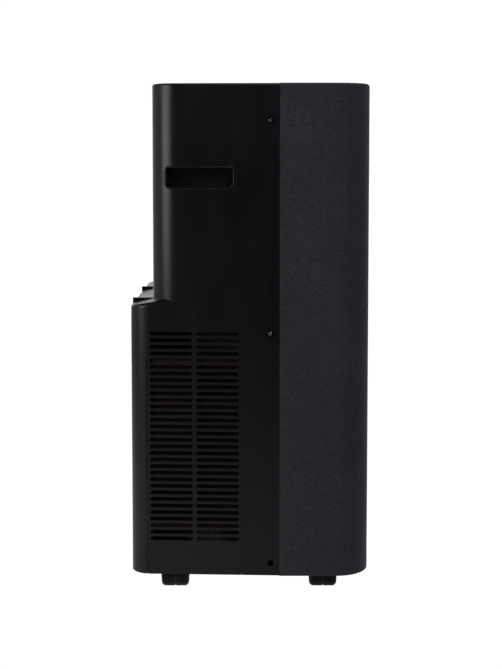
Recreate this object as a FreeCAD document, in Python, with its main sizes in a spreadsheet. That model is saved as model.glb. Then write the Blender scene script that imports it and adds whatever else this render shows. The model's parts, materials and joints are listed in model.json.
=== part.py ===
"""Portable air conditioner with a fabric-covered front, as separate pieces in millimetres.

+Z is up and the origin is on the floor under the middle of the machine. The fabric front faces -Y and
the exhaust side faces +Y. "Near" and "far" name the -X and +X sides.
"""
import FreeCAD, Part
import math
import os
import Sketcher

V = FreeCAD.Vector
DOC = FreeCAD.newDocument("portable_air_conditioner")

# ---------------------------------------------------------------- driving dimensions

DIMENSIONS = (
    # overall envelope
    ("overall_width", 354),
    ("overall_depth", 335),
    ("overall_height", 716),
    ("shell_bottom", 29),
    ("seam_y", -40.5),
    ("side_taper", 2.35),
    ("front_corner", 46),
    ("upper_rear_y", 136.8),
    ("upper_corner", 37),
    ("lower_corner", 28),
    ("housing_top", 715.5),
    ("top_round", 3),
    ("top_flange", 8),
    # sheet and panel thicknesses, and the gaps between neighbours
    ("wall", 2.5),
    ("thin_wall", 2),
    ("fabric_thickness", 1.2),
    ("panel_gap", 0.35),
    # sloping shelf behind the upper part
    ("shelf_front_y", 104),
    ("shelf_front_z", 419.3),
    ("shelf_slope", 10),
    ("shelf_round", 5.5),
    ("rib_top", 414.3),
    ("rib_width", 3),
    ("rib_near_x", -117),
    ("rib_far_x", 32),
    # side and rear grilles
    ("slot_height", 5.8),
    ("slot_round", 2.8),
    ("slot_pitch", 9.35),
    ("slot_rows", 32),
    ("slot_length", 60.2),
    ("slot_bottom_z", 80.2),
    ("slot_front_y", 45.1),
    ("slot_rear_y", 110),
    ("louvre_rows", 14),
    ("louvre_length", 62),
    ("louvre_spacing", 74),
    ("louvre_bottom_z", 84),
    ("side_panel_front", 11.3),
    ("side_panel_rear", 144.2),
    ("side_panel_top", 338.9),
    # grip recesses
    ("grip_front", 24),
    ("grip_rear", 115.2),
    ("grip_low", 572.6),
    ("grip_high", 599.3),
    ("grip_depth", 20),
    ("grip_hook", 14),
    # case screws
    ("screw_y", -28.5),
    ("screw_high_z", 664.6),
    ("screw_mid_z", 369.6),
    ("screw_low_z", 46.3),
    ("screw_head", 4),
    ("screw_recess", 6),
    ("deep_hole", 4.4),
    # rear intake
    ("intake_half_width", 128),
    ("intake_low", 445),
    ("intake_high", 690),
    ("intake_rows", 24),
    ("intake_slot_length", 74),
    ("intake_slot_spacing", 81),
    ("intake_slot_bottom", 461),
    # exhaust
    ("exhaust_x", -42.5),
    ("exhaust_z", 312),
    ("exhaust_bore", 66),
    ("exhaust_ring", 73),
    # air outlet
    ("outlet_half_width", 122),
    ("outlet_front", -118),
    ("outlet_rear", -48.7),
    ("top_panel_top", 715.2),
    ("top_panel_thickness", 3),
    ("flap_axis_y", -52),
    ("duct_half_width", 126),
    ("duct_front", -122),
    ("duct_rear", -44),
    ("vane_count", 5),
    ("vane_spacing", 42),
    ("vane_axis_z", 674),
    ("vane_link_z", 655),
    # controls
    ("control_half_width", 105),
    ("control_front", -22),
    ("control_rear", 34),
    ("button_y", 18),
    ("button_spacing", 30),
    ("button_radius", 7),
    # fans
    ("evaporator_fan_z", 545),
    ("condenser_fan_y", 64),
    ("condenser_fan_z", 170),
    # compressor
    ("compressor_x", 95),
    ("compressor_y", -10),
    ("compressor_radius", 50),
    # casters
    ("caster_x", 121),
    ("caster_front_y", -104),
    ("caster_rear_y", 107),
    ("caster_trail", 11),
    ("wheel_radius", 20),
    ("wheel_width", 18.2),
    ("wheel_outer_y", 19.5),
    ("axle_radius", 3),
    ("turret_radius", 43),
    ("turret_roof", 47),
    # water and cord outlets on the rear
    ("drain_x", 100),
    ("upper_drain_z", 433),
    ("lower_drain_z", 48),
    ("drain_bore", 6),
    ("drain_outer", 9),
    ("cord_x", 128),
    ("cord_z", 100),
    ("cord_bore", 4),
)

SHEET = DOC.addObject("Spreadsheet::Sheet", "dims")
for row, (alias, number) in enumerate(DIMENSIONS, 1):
    SHEET.set("A%d" % row, alias)
    SHEET.set("B%d" % row, str(number))
    SHEET.setAlias("B%d" % row, alias)
DOC.recompute()

HALF_WIDTH = "(dims.overall_width / 2)"
FRONT = "(-dims.overall_depth / 2)"
REAR = "(dims.overall_depth / 2)"
PANEL_UNDER = "(dims.top_panel_top - dims.top_panel_thickness)"
BEYOND = "(dims.overall_width / 2 + 20)"
PIECES = []


def value(expression):
    """The number that an expression on the dimensions has now."""
    result = SHEET.evalExpression(str(expression))
    return float(getattr(result, "Value", result))


# ---------------------------------------------------------------- sketches and features

PLANES = {"XY": ("XY_Plane", 1), "XZ": ("XZ_Plane", -1), "YZ": ("YZ_Plane", 1)}


def bind(sketch, constraint, expression):
    index = sketch.addConstraint(constraint)
    sketch.setExpression("Constraints[%d]" % index, str(expression))


def add_circle(sketch, x, y, radius):
    centre = V(value(x), value(y), 0)
    circle = sketch.addGeometry(Part.Circle(centre, V(0, 0, 1), value(radius)), False)
    bind(sketch, Sketcher.Constraint("DistanceX", circle, 3, centre.x), x)
    bind(sketch, Sketcher.Constraint("DistanceY", circle, 3, centre.y), y)
    bind(sketch, Sketcher.Constraint("Radius", circle, value(radius)), radius)


def corner_arc(point, back, ahead, radius):
    """Where a corner's arc starts and ends, its centre, and whether the outline turns left there."""
    to_back = (back - point).normalize()
    to_ahead = (ahead - point).normalize()
    half = to_back.getAngle(to_ahead) / 2
    reach = radius / math.tan(half)
    centre = point + (to_back + to_ahead).normalize() * (radius / math.sin(half))
    turns_left = (-to_back).cross(to_ahead).z > 0
    return point + to_back * reach, point + to_ahead * reach, centre, turns_left


def add_outline(sketch, corners):
    """A closed outline. Each corner is (x, y) or, when rounded, (x, y, radius), as expressions."""
    points = [V(value(corner[0]), value(corner[1]), 0) for corner in corners]
    count = len(points)
    arcs = {}
    for i, corner in enumerate(corners):
        if len(corner) == 3:
            arcs[i] = corner_arc(points[i], points[i - 1], points[(i + 1) % count], value(corner[2]))
    lines = []
    for i in range(count):
        following = (i + 1) % count
        start = arcs[i][1] if i in arcs else points[i]
        end = arcs[following][0] if following in arcs else points[following]
        lines.append(sketch.addGeometry(Part.LineSegment(start, end), False))
    for i, corner in enumerate(corners):
        before, after = lines[i - 1], lines[i]
        if i in arcs:
            entry, leave, centre, turns_left = arcs[i]
            first, last = (entry, leave) if turns_left else (leave, entry)
            from_angle = math.atan2(first.y - centre.y, first.x - centre.x)
            to_angle = math.atan2(last.y - centre.y, last.x - centre.x)
            if to_angle < from_angle:
                to_angle += 2 * math.pi
            circle = Part.Circle(centre, V(0, 0, 1), value(corner[2]))
            arc = sketch.addGeometry(Part.ArcOfCircle(circle, from_angle, to_angle), False)
            entry_end, leave_end = (1, 2) if turns_left else (2, 1)
            sketch.addConstraint(Sketcher.Constraint("Tangent", before, 2, arc, entry_end))
            sketch.addConstraint(Sketcher.Constraint("Tangent", arc, leave_end, after, 1))
            bind(sketch, Sketcher.Constraint("Radius", arc, value(corner[2])), corner[2])
            vertex = sketch.addGeometry(Part.Point(points[i]), True)
            sketch.addConstraint(Sketcher.Constraint("PointOnObject", vertex, 1, before))
            sketch.addConstraint(Sketcher.Constraint("PointOnObject", vertex, 1, after))
        else:
            vertex = after
            sketch.addConstraint(Sketcher.Constraint("Coincident", before, 2, after, 1))
        bind(sketch, Sketcher.Constraint("DistanceX", vertex, 1, points[i].x), corner[0])
        bind(sketch, Sketcher.Constraint("DistanceY", vertex, 1, points[i].y), corner[1])


def origin_feature(body, role):
    return [feature for feature in body.Origin.OriginFeatures if feature.Role == role][0]


def new_body(label, base=None):
    body = DOC.addObject("PartDesign::Body", label)
    if base is not None:
        body.BaseFeature = base
        DOC.recompute()
    return body


def new_sketch(body, plane, offset, loops):
    """A sketch on one of the body's origin planes. A loop is ("circle", x, y, r) or a list of corners."""
    role, sign = PLANES[plane]
    sketch = body.newObject("Sketcher::SketchObject", body.Label + "_sketch")
    sketch.AttachmentSupport = [(origin_feature(body, role), "")]
    sketch.MapMode = "FlatFace"
    sketch.setExpression("AttachmentOffset.Base.z", "(%s) * %d" % (offset, sign))
    for loop in loops:
        if loop[0] == "circle":
            add_circle(sketch, *loop[1:])
        else:
            add_outline(sketch, loop)
    return sketch


def prism(body, plane, loops, low, high, cut=False):
    """Pad, or with cut pocket, the loops between two levels along the plane's normal."""
    forward = PLANES[plane][1] > 0
    start = (low if forward else high) if not cut else (high if forward else low)
    sketch = new_sketch(body, plane, start, loops)
    before = 0 if body.Tip is None else body.Shape.Volume
    feature = body.newObject("PartDesign::Pocket" if cut else "PartDesign::Pad", body.Label + "_prism")
    feature.Profile = sketch
    feature.setExpression("Length", "(%s) - (%s)" % (high, low))
    DOC.recompute()
    change = body.Shape.Volume - before
    if change * (-1 if cut else 1) < 0.1:
        raise ValueError("%s: a feature changed nothing" % body.Label)
    return feature


def repeat(body, feature, role, count, pitch):
    """Repeat a feature along an origin axis, count times in all, pitch apart."""
    pattern = body.newObject("PartDesign::LinearPattern", body.Label + "_pattern")
    pattern.Originals = [feature]
    pattern.Direction = (origin_feature(body, role), [""])
    pattern.setExpression("Length", "((%s) - 1) * (%s)" % (count, pitch))
    pattern.setExpression("Occurrences", count)
    body.Tip = pattern
    DOC.recompute()
    return pattern


def round_edges(body, radius, wanted):
    """Fillet every edge that wanted(end points) accepts."""
    base = body.Tip
    names = []
    for i, edge in enumerate(body.Shape.Edges, 1):
        if wanted([vertex.Point for vertex in edge.Vertexes]):
            names.append("Edge%d" % i)
    fillet = body.newObject("PartDesign::Fillet", body.Label + "_round")
    fillet.Base = (base, names)
    fillet.setExpression("Radius", radius)
    DOC.recompute()
    return fillet


def place(thing, x, y, z, rotation=FreeCAD.Rotation()):
    thing.Placement = FreeCAD.Placement(V(0, 0, 0), rotation)
    for axis, expression in zip("xyz", (x, y, z)):
        thing.setExpression("Placement.Base." + axis, str(expression))


def box(label, low, high):
    """A Part::Box between two corners given as expressions."""
    thing = DOC.addObject("Part::Box", label)
    for side, start, end in zip(("Length", "Width", "Height"), low, high):
        thing.setExpression(side, "(%s) - (%s)" % (end, start))
    place(thing, *low)
    return thing


TURNS = {
    "X": FreeCAD.Rotation(V(0, 1, 0), 90),
    "Y": FreeCAD.Rotation(V(1, 0, 0), -90),
    "Z": FreeCAD.Rotation(),
}


def rod(label, axis, start, radius, length):
    """A Part::Cylinder from a start point along an axis."""
    thing = DOC.addObject("Part::Cylinder", label)
    thing.setExpression("Radius", str(radius))
    thing.setExpression("Height", str(length))
    place(thing, *start, rotation=TURNS[axis])
    return thing


def join(label, *things):
    result = things[0]
    for thing in things[1:]:
        fuse = DOC.addObject("Part::Fuse", label)
        fuse.Base = result
        fuse.Tool = thing
        result = fuse
    return result


def cut(label, base, *tools):
    result = base
    for tool in tools:
        difference = DOC.addObject("Part::Cut", label)
        difference.Base = result
        difference.Tool = tool
        result = difference
    return result


def common(label, first, second):
    overlap = DOC.addObject("Part::Common", label)
    overlap.Base = first
    overlap.Tool = second
    return overlap


def piece(name, thing):
    """Register a finished sub-part under the name of its node."""
    thing.Label = name
    if thing.Label != name:
        raise ValueError("the name %s is taken" % name)
    PIECES.append(thing)
    return thing


def rectangle(x_low, y_low, x_high, y_high):
    return [(x_low, y_low), (x_high, y_low), (x_high, y_high), (x_low, y_high)]


def slot(x, y, length, height="dims.slot_height", radius="dims.slot_round"):
    """A slot with rounded ends, centred on (x, y)."""
    x_low, x_high = "(%s) - (%s) / 2" % (x, length), "(%s) + (%s) / 2" % (x, length)
    y_low, y_high = "(%s) - (%s) / 2" % (y, height), "(%s) + (%s) / 2" % (y, height)
    return [(x_low, y_low, radius), (x_high, y_low, radius), (x_high, y_high, radius),
            (x_low, y_high, radius)]


# ---------------------------------------------------------------- the casing's shared outlines

def side_x(y, inset="0"):
    """Distance from the middle plane to the tapering side wall at depth y, moved in by inset."""
    taper = "(dims.side_taper * 1deg)"
    return "(%s - ((%s) - dims.seam_y) * tan%s - (%s) / cos%s)" % (HALF_WIDTH, y, taper, inset, taper)


def shelf_z(y, drop="0"):
    slope = "(dims.shelf_slope * 1deg)"
    return ("(dims.shelf_front_z - ((%s) - dims.shelf_front_y) * tan%s - (%s) / cos%s)"
            % (y, slope, drop, slope))


def rear_outline(rear_y, corner, inset, front_y):
    """Plan of the rear casing, open-ended at front_y, moved in by inset."""
    rear = "(%s - (%s))" % (rear_y, inset)
    radius = "%s - (%s)" % (corner, inset)
    return [(side_x(front_y, inset), front_y),
            (side_x(rear, inset), rear, radius),
            ("-" + side_x(rear, inset), rear, radius),
            ("-" + side_x(front_y, inset), front_y)]


def front_outline(inset, rear_y):
    """Plan of the fabric-covered front, moved in by inset and ending at rear_y."""
    half = "%s - (%s)" % (HALF_WIDTH, inset)
    front = "%s + (%s)" % (FRONT, inset)
    radius = "dims.front_corner - (%s)" % inset
    return [("-(%s)" % half, front, radius), (half, front, radius), (half, rear_y),
            ("-(%s)" % half, rear_y)]


def full_outline(inset, rear_y="dims.upper_rear_y", corner="dims.upper_corner"):
    """Plan of the whole machine at one level, moved in by inset."""
    rear = "(%s - (%s))" % (rear_y, inset)
    half = "%s - (%s)" % (HALF_WIDTH, inset)
    front = "%s + (%s)" % (FRONT, inset)
    front_radius = "dims.front_corner - (%s)" % inset
    rear_radius = "%s - (%s)" % (corner, inset)
    return [("-(%s)" % half, front, front_radius),
            (half, front, front_radius),
            (half, "dims.seam_y"),
            (side_x(rear, inset), rear, rear_radius),
            ("-" + side_x(rear, inset), rear, rear_radius),
            ("-(%s)" % half, "dims.seam_y")]


# ---------------------------------------------------------------- rear casing

def casing_form(label, inset, front_y, bottom, top):
    """Solid of the rear casing moved in by inset: lower part, rounded sloping shelf and upper part."""
    body = new_body(label)
    shelf_start, shelf_end, above = "60", "(%s + 30)" % REAR, "(dims.shelf_front_z + 100)"
    lower = rear_outline(REAR, "dims.lower_corner", inset, front_y)
    prism(body, "XY", [lower], bottom, shelf_z(shelf_start) + " + 2")
    over_shelf = [(shelf_start, shelf_z(shelf_start, inset)), (shelf_end, shelf_z(shelf_end, inset)),
                  (shelf_end, above), (shelf_start, above)]
    prism(body, "YZ", [over_shelf], "-" + BEYOND, BEYOND, cut=True)
    start_y = value(shelf_start)

    def on_shelf_edge(ends):
        on_shelf = all(abs(end.z - value(shelf_z(repr(end.y), inset))) < 0.01 for end in ends)
        return on_shelf and not all(abs(end.y - start_y) < 0.01 for end in ends)

    round_edges(body, "dims.shelf_round - (%s)" % inset, on_shelf_edge)
    prism(body, "XY", [rear_outline("dims.upper_rear_y", "dims.upper_corner", inset, front_y)],
          bottom, top)
    return body


def screw_loops(radius):
    return [("circle", "dims.screw_y", height, radius)
            for height in ("dims.screw_high_z", "dims.screw_mid_z")]


def casing_inside():
    """The space inside the rear casing's walls."""
    return casing_form("casing_inside", "dims.wall", "dims.seam_y - 10", "dims.shell_bottom - 1",
                       "dims.housing_top - dims.wall")


def casing(inner):
    """The hollow rear casing with every opening, before the near side panel is parted from it."""
    outer = casing_form("casing_outside", "0", "dims.seam_y", "dims.shell_bottom", "dims.housing_top")
    for rib_x in ("dims.rib_near_x", "dims.rib_far_x"):
        rib = [("128", shelf_z("128", "2")), (REAR + " - 3", shelf_z(REAR, "7")),
               (REAR + " - 0.3", shelf_z(REAR, "7")), (REAR + " - 0.3", "dims.rib_top"),
               ("128", "dims.rib_top")]
        prism(outer, "YZ", [rib], rib_x + " - dims.rib_width / 2", rib_x + " + dims.rib_width / 2")
    top, seam = value("dims.housing_top"), value("dims.seam_y")

    def on_top_edge(ends):
        at_top = all(abs(end.z - top) < 0.01 for end in ends)
        return at_top and not all(abs(end.y - seam) < 0.01 for end in ends)

    round_edges(outer, "dims.top_round", on_top_edge)
    top_opening = new_body("casing_top_opening")
    prism(top_opening, "XY", [rear_outline("dims.upper_rear_y", "dims.upper_corner", "dims.top_flange",
                                           "dims.seam_y - 10")],
          "dims.housing_top - dims.wall - 1", "dims.housing_top + 1")
    hollow = cut("casing_hollow", outer, inner, top_opening)
    DOC.recompute()
    body = new_body("casing", hollow)
    wall_inside = side_x("dims.screw_y", "1.2")
    for loops, depth in ((screw_loops("8.5"), "9"),
                         ([("circle", "dims.screw_y", "dims.screw_low_z", "7")], "16")):
        inside = "(%s - %s)" % (wall_inside, depth)
        prism(body, "YZ", loops, inside, wall_inside)
        prism(body, "YZ", loops, "-" + wall_inside, "-" + inside)
    recess_floor = side_x("dims.screw_y", "3.2")
    deep_floor = side_x("dims.screw_y", "13")
    deep = [("circle", "dims.screw_y", "dims.screw_low_z", "dims.deep_hole")]
    for loops, floor in ((screw_loops("dims.screw_recess"), recess_floor), (deep, deep_floor)):
        prism(body, "YZ", loops, floor, BEYOND, cut=True)
        prism(body, "YZ", loops, "-" + BEYOND, "-" + floor, cut=True)
    through = screw_loops("2.3") + [("circle", "dims.screw_y", "dims.screw_low_z", "2.3")]
    prism(body, "YZ", through, "-" + BEYOND, BEYOND, cut=True)
    grip = [("dims.grip_front", "dims.grip_low", "9"), ("dims.grip_rear", "dims.grip_low", "6"),
            ("dims.grip_rear", "dims.grip_high", "1.5"), ("dims.grip_front", "dims.grip_high", "1.5")]
    prism(body, "YZ", [grip], "-" + BEYOND, BEYOND, cut=True)
    slots = [slot(y, "dims.slot_bottom_z", "dims.slot_length")
             for y in ("dims.slot_front_y", "dims.slot_rear_y")]
    first_row = prism(body, "YZ", slots, "-" + BEYOND, BEYOND, cut=True)
    repeat(body, first_row, "Z_Axis", "dims.slot_rows", "dims.slot_pitch")
    behind = "(%s + 5)" % REAR
    inner_rear = "(%s - dims.wall - 1)" % REAR
    louvres = [slot("dims.louvre_spacing * %d" % column, "dims.louvre_bottom_z", "dims.louvre_length")
               for column in (-1, 0, 1)]
    first_louvre = prism(body, "XZ", louvres, inner_rear, behind, cut=True)
    repeat(body, first_louvre, "Z_Axis", "dims.louvre_rows", "dims.slot_pitch")
    window = rectangle("-dims.intake_half_width", "dims.intake_low",
                       "dims.intake_half_width", "dims.intake_high")
    prism(body, "XZ", [window], "dims.upper_rear_y - 10", "dims.upper_rear_y + 5", cut=True)
    drain = ("circle", "dims.drain_x", "dims.upper_drain_z", "dims.drain_outer + 0.2")
    prism(body, "XZ", [drain], "dims.upper_rear_y - 10", "dims.upper_rear_y + 5", cut=True)
    rear_holes = [("circle", "dims.exhaust_x", "dims.exhaust_z", "dims.exhaust_ring + 0.4"),
                  ("circle", "dims.drain_x", "dims.lower_drain_z", "dims.drain_outer + 0.2"),
                  ("circle", "dims.cord_x", "dims.cord_z", "dims.drain_outer + 0.2")]
    prism(body, "XZ", rear_holes, inner_rear, behind, cut=True)
    return body


def rear_casing(inner):
    """Part the near side's grille panel from the casing along its seam."""
    whole = casing(inner)
    inner_x = "-(%s - 30)" % HALF_WIDTH
    low_z = "dims.shell_bottom - 5"
    panel_form = box("side_panel_form", ("-" + BEYOND, "dims.side_panel_front", low_z),
                     (inner_x, "dims.side_panel_rear", "dims.side_panel_top"))
    window_form = box("side_window_form",
                      ("-" + BEYOND, "dims.side_panel_front - dims.panel_gap", low_z),
                      (inner_x, "dims.side_panel_rear + 2 * dims.panel_gap",
                       "dims.side_panel_top + dims.panel_gap"))
    piece("side_grille_panel", common("side_panel_cut", whole, panel_form))
    piece("rear_housing", cut("housing_cut", whole, window_form))


def grip_cup(name, side, inner):
    """A finger cup behind a grip opening, hooked upwards, its mouth against the casing's inner wall."""
    margin = "2.5"
    low, high = "(dims.grip_low - %s)" % margin, "(dims.grip_high + dims.grip_hook + %s)" % margin

    def section(front, rear, depth):
        corners = [(side_x(front, "-2"), front), (side_x(rear, "-2"), rear),
                   (side_x(rear, depth), rear), (side_x(front, depth), front)]
        return [("%d * %s" % (side, x), y) for x, y in corners]

    body = new_body(name + "_body")
    outer = section("(dims.grip_front - %s)" % margin, "(dims.grip_rear + %s)" % margin,
                    "dims.wall + dims.grip_depth + 2")
    prism(body, "XY", [outer], low, high)
    hollow = section("dims.grip_front", "dims.grip_rear", "dims.wall + dims.grip_depth")
    prism(body, "XY", [hollow], "dims.grip_low", "dims.grip_high + dims.grip_hook", cut=True)
    piece(name, common(name + "_trimmed", body, inner))


def case_screws():
    """Round-headed screws that hold the rear casing to the front carrier."""
    screws = []
    for direction in (-1, 1):
        for height, floor in (("dims.screw_high_z", "3.2"), ("dims.screw_mid_z", "3.2"),
                              ("dims.screw_low_z", "13")):
            seat = "(%s - 0.05)" % side_x("dims.screw_y", floor)
            head_length, shank_length = "2.2", "9.5"
            start = seat if direction > 0 else "(-%s - %s)" % (seat, head_length)
            head = rod("screw_head", "X", (start, "dims.screw_y", height), "dims.screw_head", head_length)
            start = "(%s - %s)" % (seat, shank_length) if direction > 0 else "-" + seat
            shank = rod("screw_shank", "X", (start, "dims.screw_y", height), "2", shank_length)
            screws.append(join("screw", head, shank))
    piece("case_screws", join("screw_set", *screws))


# ---------------------------------------------------------------- front shell

def front_form(label, inset, bottom, top, rear_y):
    """The front's solid moved in by inset, with its top edge rounded except along the seam."""
    body = new_body(label)
    prism(body, "XY", [front_outline(inset, rear_y)], bottom, top)
    top_z, seam_end = value(top), value(rear_y)

    def on_top_edge(ends):
        at_top = all(abs(end.z - top_z) < 0.01 for end in ends)
        return at_top and not all(abs(end.y - seam_end) < 0.01 for end in ends)

    round_edges(body, "dims.top_round + 1.5 - (%s)" % inset, on_top_edge)
    return body


def front_shell():
    """The front carrier and the fabric stretched over it."""
    seam = "dims.seam_y - 0.2"
    skin = "dims.fabric_thickness"
    top = "dims.overall_height"
    fabric_form = front_form("fabric_outside", "0", "dims.shell_bottom - 1", top, seam)
    under_fabric = front_form("fabric_inside", skin, "dims.shell_bottom - 2", "%s - %s" % (top, skin),
                              "dims.seam_y + 5")
    carrier_form = front_form("carrier_outside", skin + " + 0.02", "dims.shell_bottom - 0.6",
                              "%s - %s - 0.02" % (top, skin), seam)
    carrier_hollow = new_body("carrier_inside")
    prism(carrier_hollow, "XY", [front_outline(skin + " + dims.wall", "dims.seam_y + 5")],
          "dims.shell_bottom - 5", "dims.overall_height - %s - dims.wall" % skin)
    opening = new_body("front_opening")
    prism(opening, "XY", [front_outline("dims.top_flange", "dims.seam_y + 5")],
          "dims.overall_height - 10", "dims.overall_height + 5")
    piece("front_fabric", cut("fabric_cut", fabric_form, under_fabric, opening))
    piece("front_carrier", cut("carrier_cut", carrier_form, carrier_hollow, opening))


# ---------------------------------------------------------------- top panel, outlet and controls

def top_panel():
    """Top plate with the outlet's collar, the control recess and posts for the circuit board."""
    body = new_body("top_panel_body")
    prism(body, "XY", [full_outline("dims.top_flange + dims.panel_gap")], PANEL_UNDER,
          "dims.top_panel_top")
    collar = rectangle("-dims.outlet_half_width - 5", "dims.outlet_front - 3.5",
                       "dims.outlet_half_width + 5", "dims.outlet_rear + 3.2")
    prism(body, "XY", [collar], "700", PANEL_UNDER)
    mouth = rectangle("-dims.outlet_half_width", "dims.outlet_front",
                      "dims.outlet_half_width", "dims.outlet_rear")
    prism(body, "XY", [mouth], "690", "720", cut=True)
    posts = [("circle", str(x), y, "3") for x in (-95, 95)
             for y in ("dims.control_front + 7", "dims.control_rear - 7")]
    prism(body, "XY", posts, "700.7", PANEL_UNDER)
    recess = rectangle("-dims.control_half_width", "dims.control_front",
                       "dims.control_half_width", "dims.control_rear")
    prism(body, "XY", [recess], "dims.top_panel_top - 2", "720", cut=True)
    prism(body, "XY", button_holes(), "700", "720", cut=True)
    prism(body, "YZ", [("circle", "dims.flap_axis_y", PANEL_UNDER, "1.55")],
          "-dims.outlet_half_width - 3.6", "dims.outlet_half_width + 3.6", cut=True)
    piece("top_panel", body)


def button_holes():
    return [("circle", "dims.button_spacing * %s" % step, "dims.button_y", "dims.button_radius + 0.3")
            for step in (-2.5, -1.5, -0.5, 0.5, 1.5, 2.5)]


def controls():
    """Control fascia, its circuit board and the six push buttons."""
    body = new_body("control_body")
    gap = "dims.panel_gap"
    fascia = rectangle("-dims.control_half_width + " + gap, "dims.control_front + " + gap,
                       "dims.control_half_width - " + gap, "dims.control_rear - " + gap)
    prism(body, "XY", [fascia], "dims.top_panel_top - 1.95", "dims.top_panel_top")
    prism(body, "XY", button_holes(), "700", "720", cut=True)
    piece("control_panel", body)
    board = box("board", ("-100", "dims.control_front + 2", "699"),
                ("100", "dims.control_rear - 2", "700.6"))
    piece("circuit_board", board)
    names = ("power", "mode", "speed", "cooler", "warmer", "timer")
    for i, name in enumerate(names):
        x = "dims.button_spacing * %s" % (i - 2.5)
        cap_base = "(%s - 1.2)" % PANEL_UNDER
        cap = rod("cap", "Z", (x, "dims.button_y", cap_base), "dims.button_radius",
                  "dims.overall_height - 0.1 - %s" % cap_base)
        stem = rod("stem", "Z", (x, "dims.button_y", "703.5"), "4", cap_base + " - 703.5")
        piece(name + "_button", join("button", cap, stem))


def outlet_flap():
    """Flap over the outlet, with a hinge barrel along its rear edge and a pin at each end."""
    half = "(dims.outlet_half_width - 0.5)"
    plate = box("flap_plate", ("-" + half, "dims.outlet_front + 0.5", PANEL_UNDER),
                (half, "dims.flap_axis_y", "dims.top_panel_top"))
    barrel = rod("flap_barrel", "X", ("-" + half, "dims.flap_axis_y", PANEL_UNDER), "3", "2 * " + half)
    pins = rod("flap_pins", "X", ("-%s - 3.5" % half, "dims.flap_axis_y", PANEL_UNDER), "1.5",
               "2 * %s + 7" % half)
    stiffener = box("flap_rib", ("-%s + 8" % half, "dims.outlet_front + 12", PANEL_UNDER + " - 4"),
                    (half + " - 8", "dims.outlet_front + 14", PANEL_UNDER))
    piece("outlet_flap", join("flap", plate, barrel, pins, stiffener))
    piece("flap_motor", rod("flap_motor_can", "X", ("dims.outlet_half_width + 7", "dims.flap_axis_y - 8",
                                                    "701"), "10", "16"))


def vane_x(i):
    return "dims.vane_spacing * (%d - (dims.vane_count - 1) / 2)" % i


def outlet_duct():
    body = new_body("outlet_duct_body")
    wall = "dims.thin_wall"
    low, high = "640.3", "699.9"
    prism(body, "XY", [rectangle("-dims.duct_half_width", "dims.duct_front",
                                 "dims.duct_half_width", "dims.duct_rear")], low, high)
    hollow = rectangle("-dims.duct_half_width + " + wall, "dims.duct_front + " + wall,
                       "dims.duct_half_width - " + wall, "dims.duct_rear - " + wall)
    prism(body, "XY", [hollow], "600", "720", cut=True)
    count = round(value("dims.vane_count"))
    holes = [("circle", vane_x(i), "dims.vane_axis_z", "1.55") for i in range(count)]
    prism(body, "XZ", holes, "dims.duct_front - 5", "dims.duct_rear + 5", cut=True)
    piece("outlet_duct", body)


def swing_vanes():
    """Vertical vanes that steer the air left and right, joined by one link bar."""
    front, rear = "(dims.duct_front + 8)", "(dims.duct_rear - 8)"
    count = round(value("dims.vane_count"))
    for i in range(count):
        x = vane_x(i)
        blade = box("blade", (x + " - 0.8", front, "dims.vane_axis_z - 24"),
                    (x + " + 0.8", rear, "dims.vane_axis_z + 20"))
        pivot = rod("pivot", "Y", (x, "dims.duct_front + 0.4", "dims.vane_axis_z"), "1.5",
                    "dims.duct_rear - dims.duct_front - 0.8")
        link_pin = rod("link_pin", "Y", (x, "dims.duct_front + 3.4", "dims.vane_link_z"), "1.2", "5")
        piece("vane_%d" % (i + 1), join("vane", blade, pivot, link_pin))
    body = new_body("vane_link_body")
    bar = rectangle("%s - 6" % vane_x(0), "dims.vane_link_z - 2.4",
                    "%s + 6" % vane_x(count - 1), "dims.vane_link_z + 2.4")
    holes = [("circle", vane_x(i), "dims.vane_link_z", "1.25") for i in range(count)]
    prism(body, "XZ", [bar] + holes, "dims.duct_front + 3.8", "dims.duct_front + 6.4")
    piece("vane_link", body)


# ---------------------------------------------------------------- rear intake, filters

def framed_mesh(label, plane, outline, windows, low, high, mesh_low, mesh_high):
    """A filter: a frame with windows, and a thin mesh sheet that fills them."""
    body = new_body(label)
    prism(body, plane, [outline], low, high)
    for bottom, top in ((low, mesh_low), (mesh_high, high)):
        prism(body, plane, windows, bottom, top, cut=True)
    return body


def rear_intake():
    """Pull-off grille in the upper rear wall, with its filter behind."""
    body = new_body("intake_grille_body")
    gap = "dims.panel_gap"
    face = "dims.upper_rear_y"
    plate = rectangle("-dims.intake_half_width + " + gap, "dims.intake_low + " + gap,
                      "dims.intake_half_width - " + gap, "dims.intake_high - " + gap)
    prism(body, "XZ", [plate], face + " - dims.wall", face)
    columns = [slot("dims.intake_slot_spacing * %d" % column, "dims.intake_slot_bottom",
                    "dims.intake_slot_length") for column in (-1, 0, 1)]
    first = prism(body, "XZ", columns, face + " - 5", face + " + 5", cut=True)
    repeat(body, first, "Z_Axis", "dims.intake_rows", "dims.slot_pitch")
    piece("intake_grille", body)
    outline = rectangle("-124", "dims.intake_low + 4", "124", "dims.intake_high - 4")
    windows = [rectangle("-118", "dims.intake_low + 10", "-2", "dims.intake_high - 10"),
               rectangle("2", "dims.intake_low + 10", "118", "dims.intake_high - 10")]
    piece("intake_filter", framed_mesh("intake_filter_body", "XZ", outline, windows, face + " - 6",
                                       face + " - 2.6", face + " - 4.6", face + " - 4"))


def condenser_filter():
    """Filter behind the near side panel: top frame bar level with the panel's first open rows."""
    outline = rectangle("dims.side_panel_front + 1.5", "92",
                        "dims.side_panel_rear - 2", "dims.side_panel_top - 0.3")
    low_z, high_z = "103", "dims.side_panel_top - 15.5"
    windows = [rectangle("dims.side_panel_front + 5", low_z, "76", high_z),
               rectangle("79", low_z, "dims.side_panel_rear - 6", high_z)]
    piece("condenser_filter", framed_mesh("condenser_filter_body", "YZ", outline, windows, "-165.6",
                                          "-162", "-164.6", "-164"))


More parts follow.
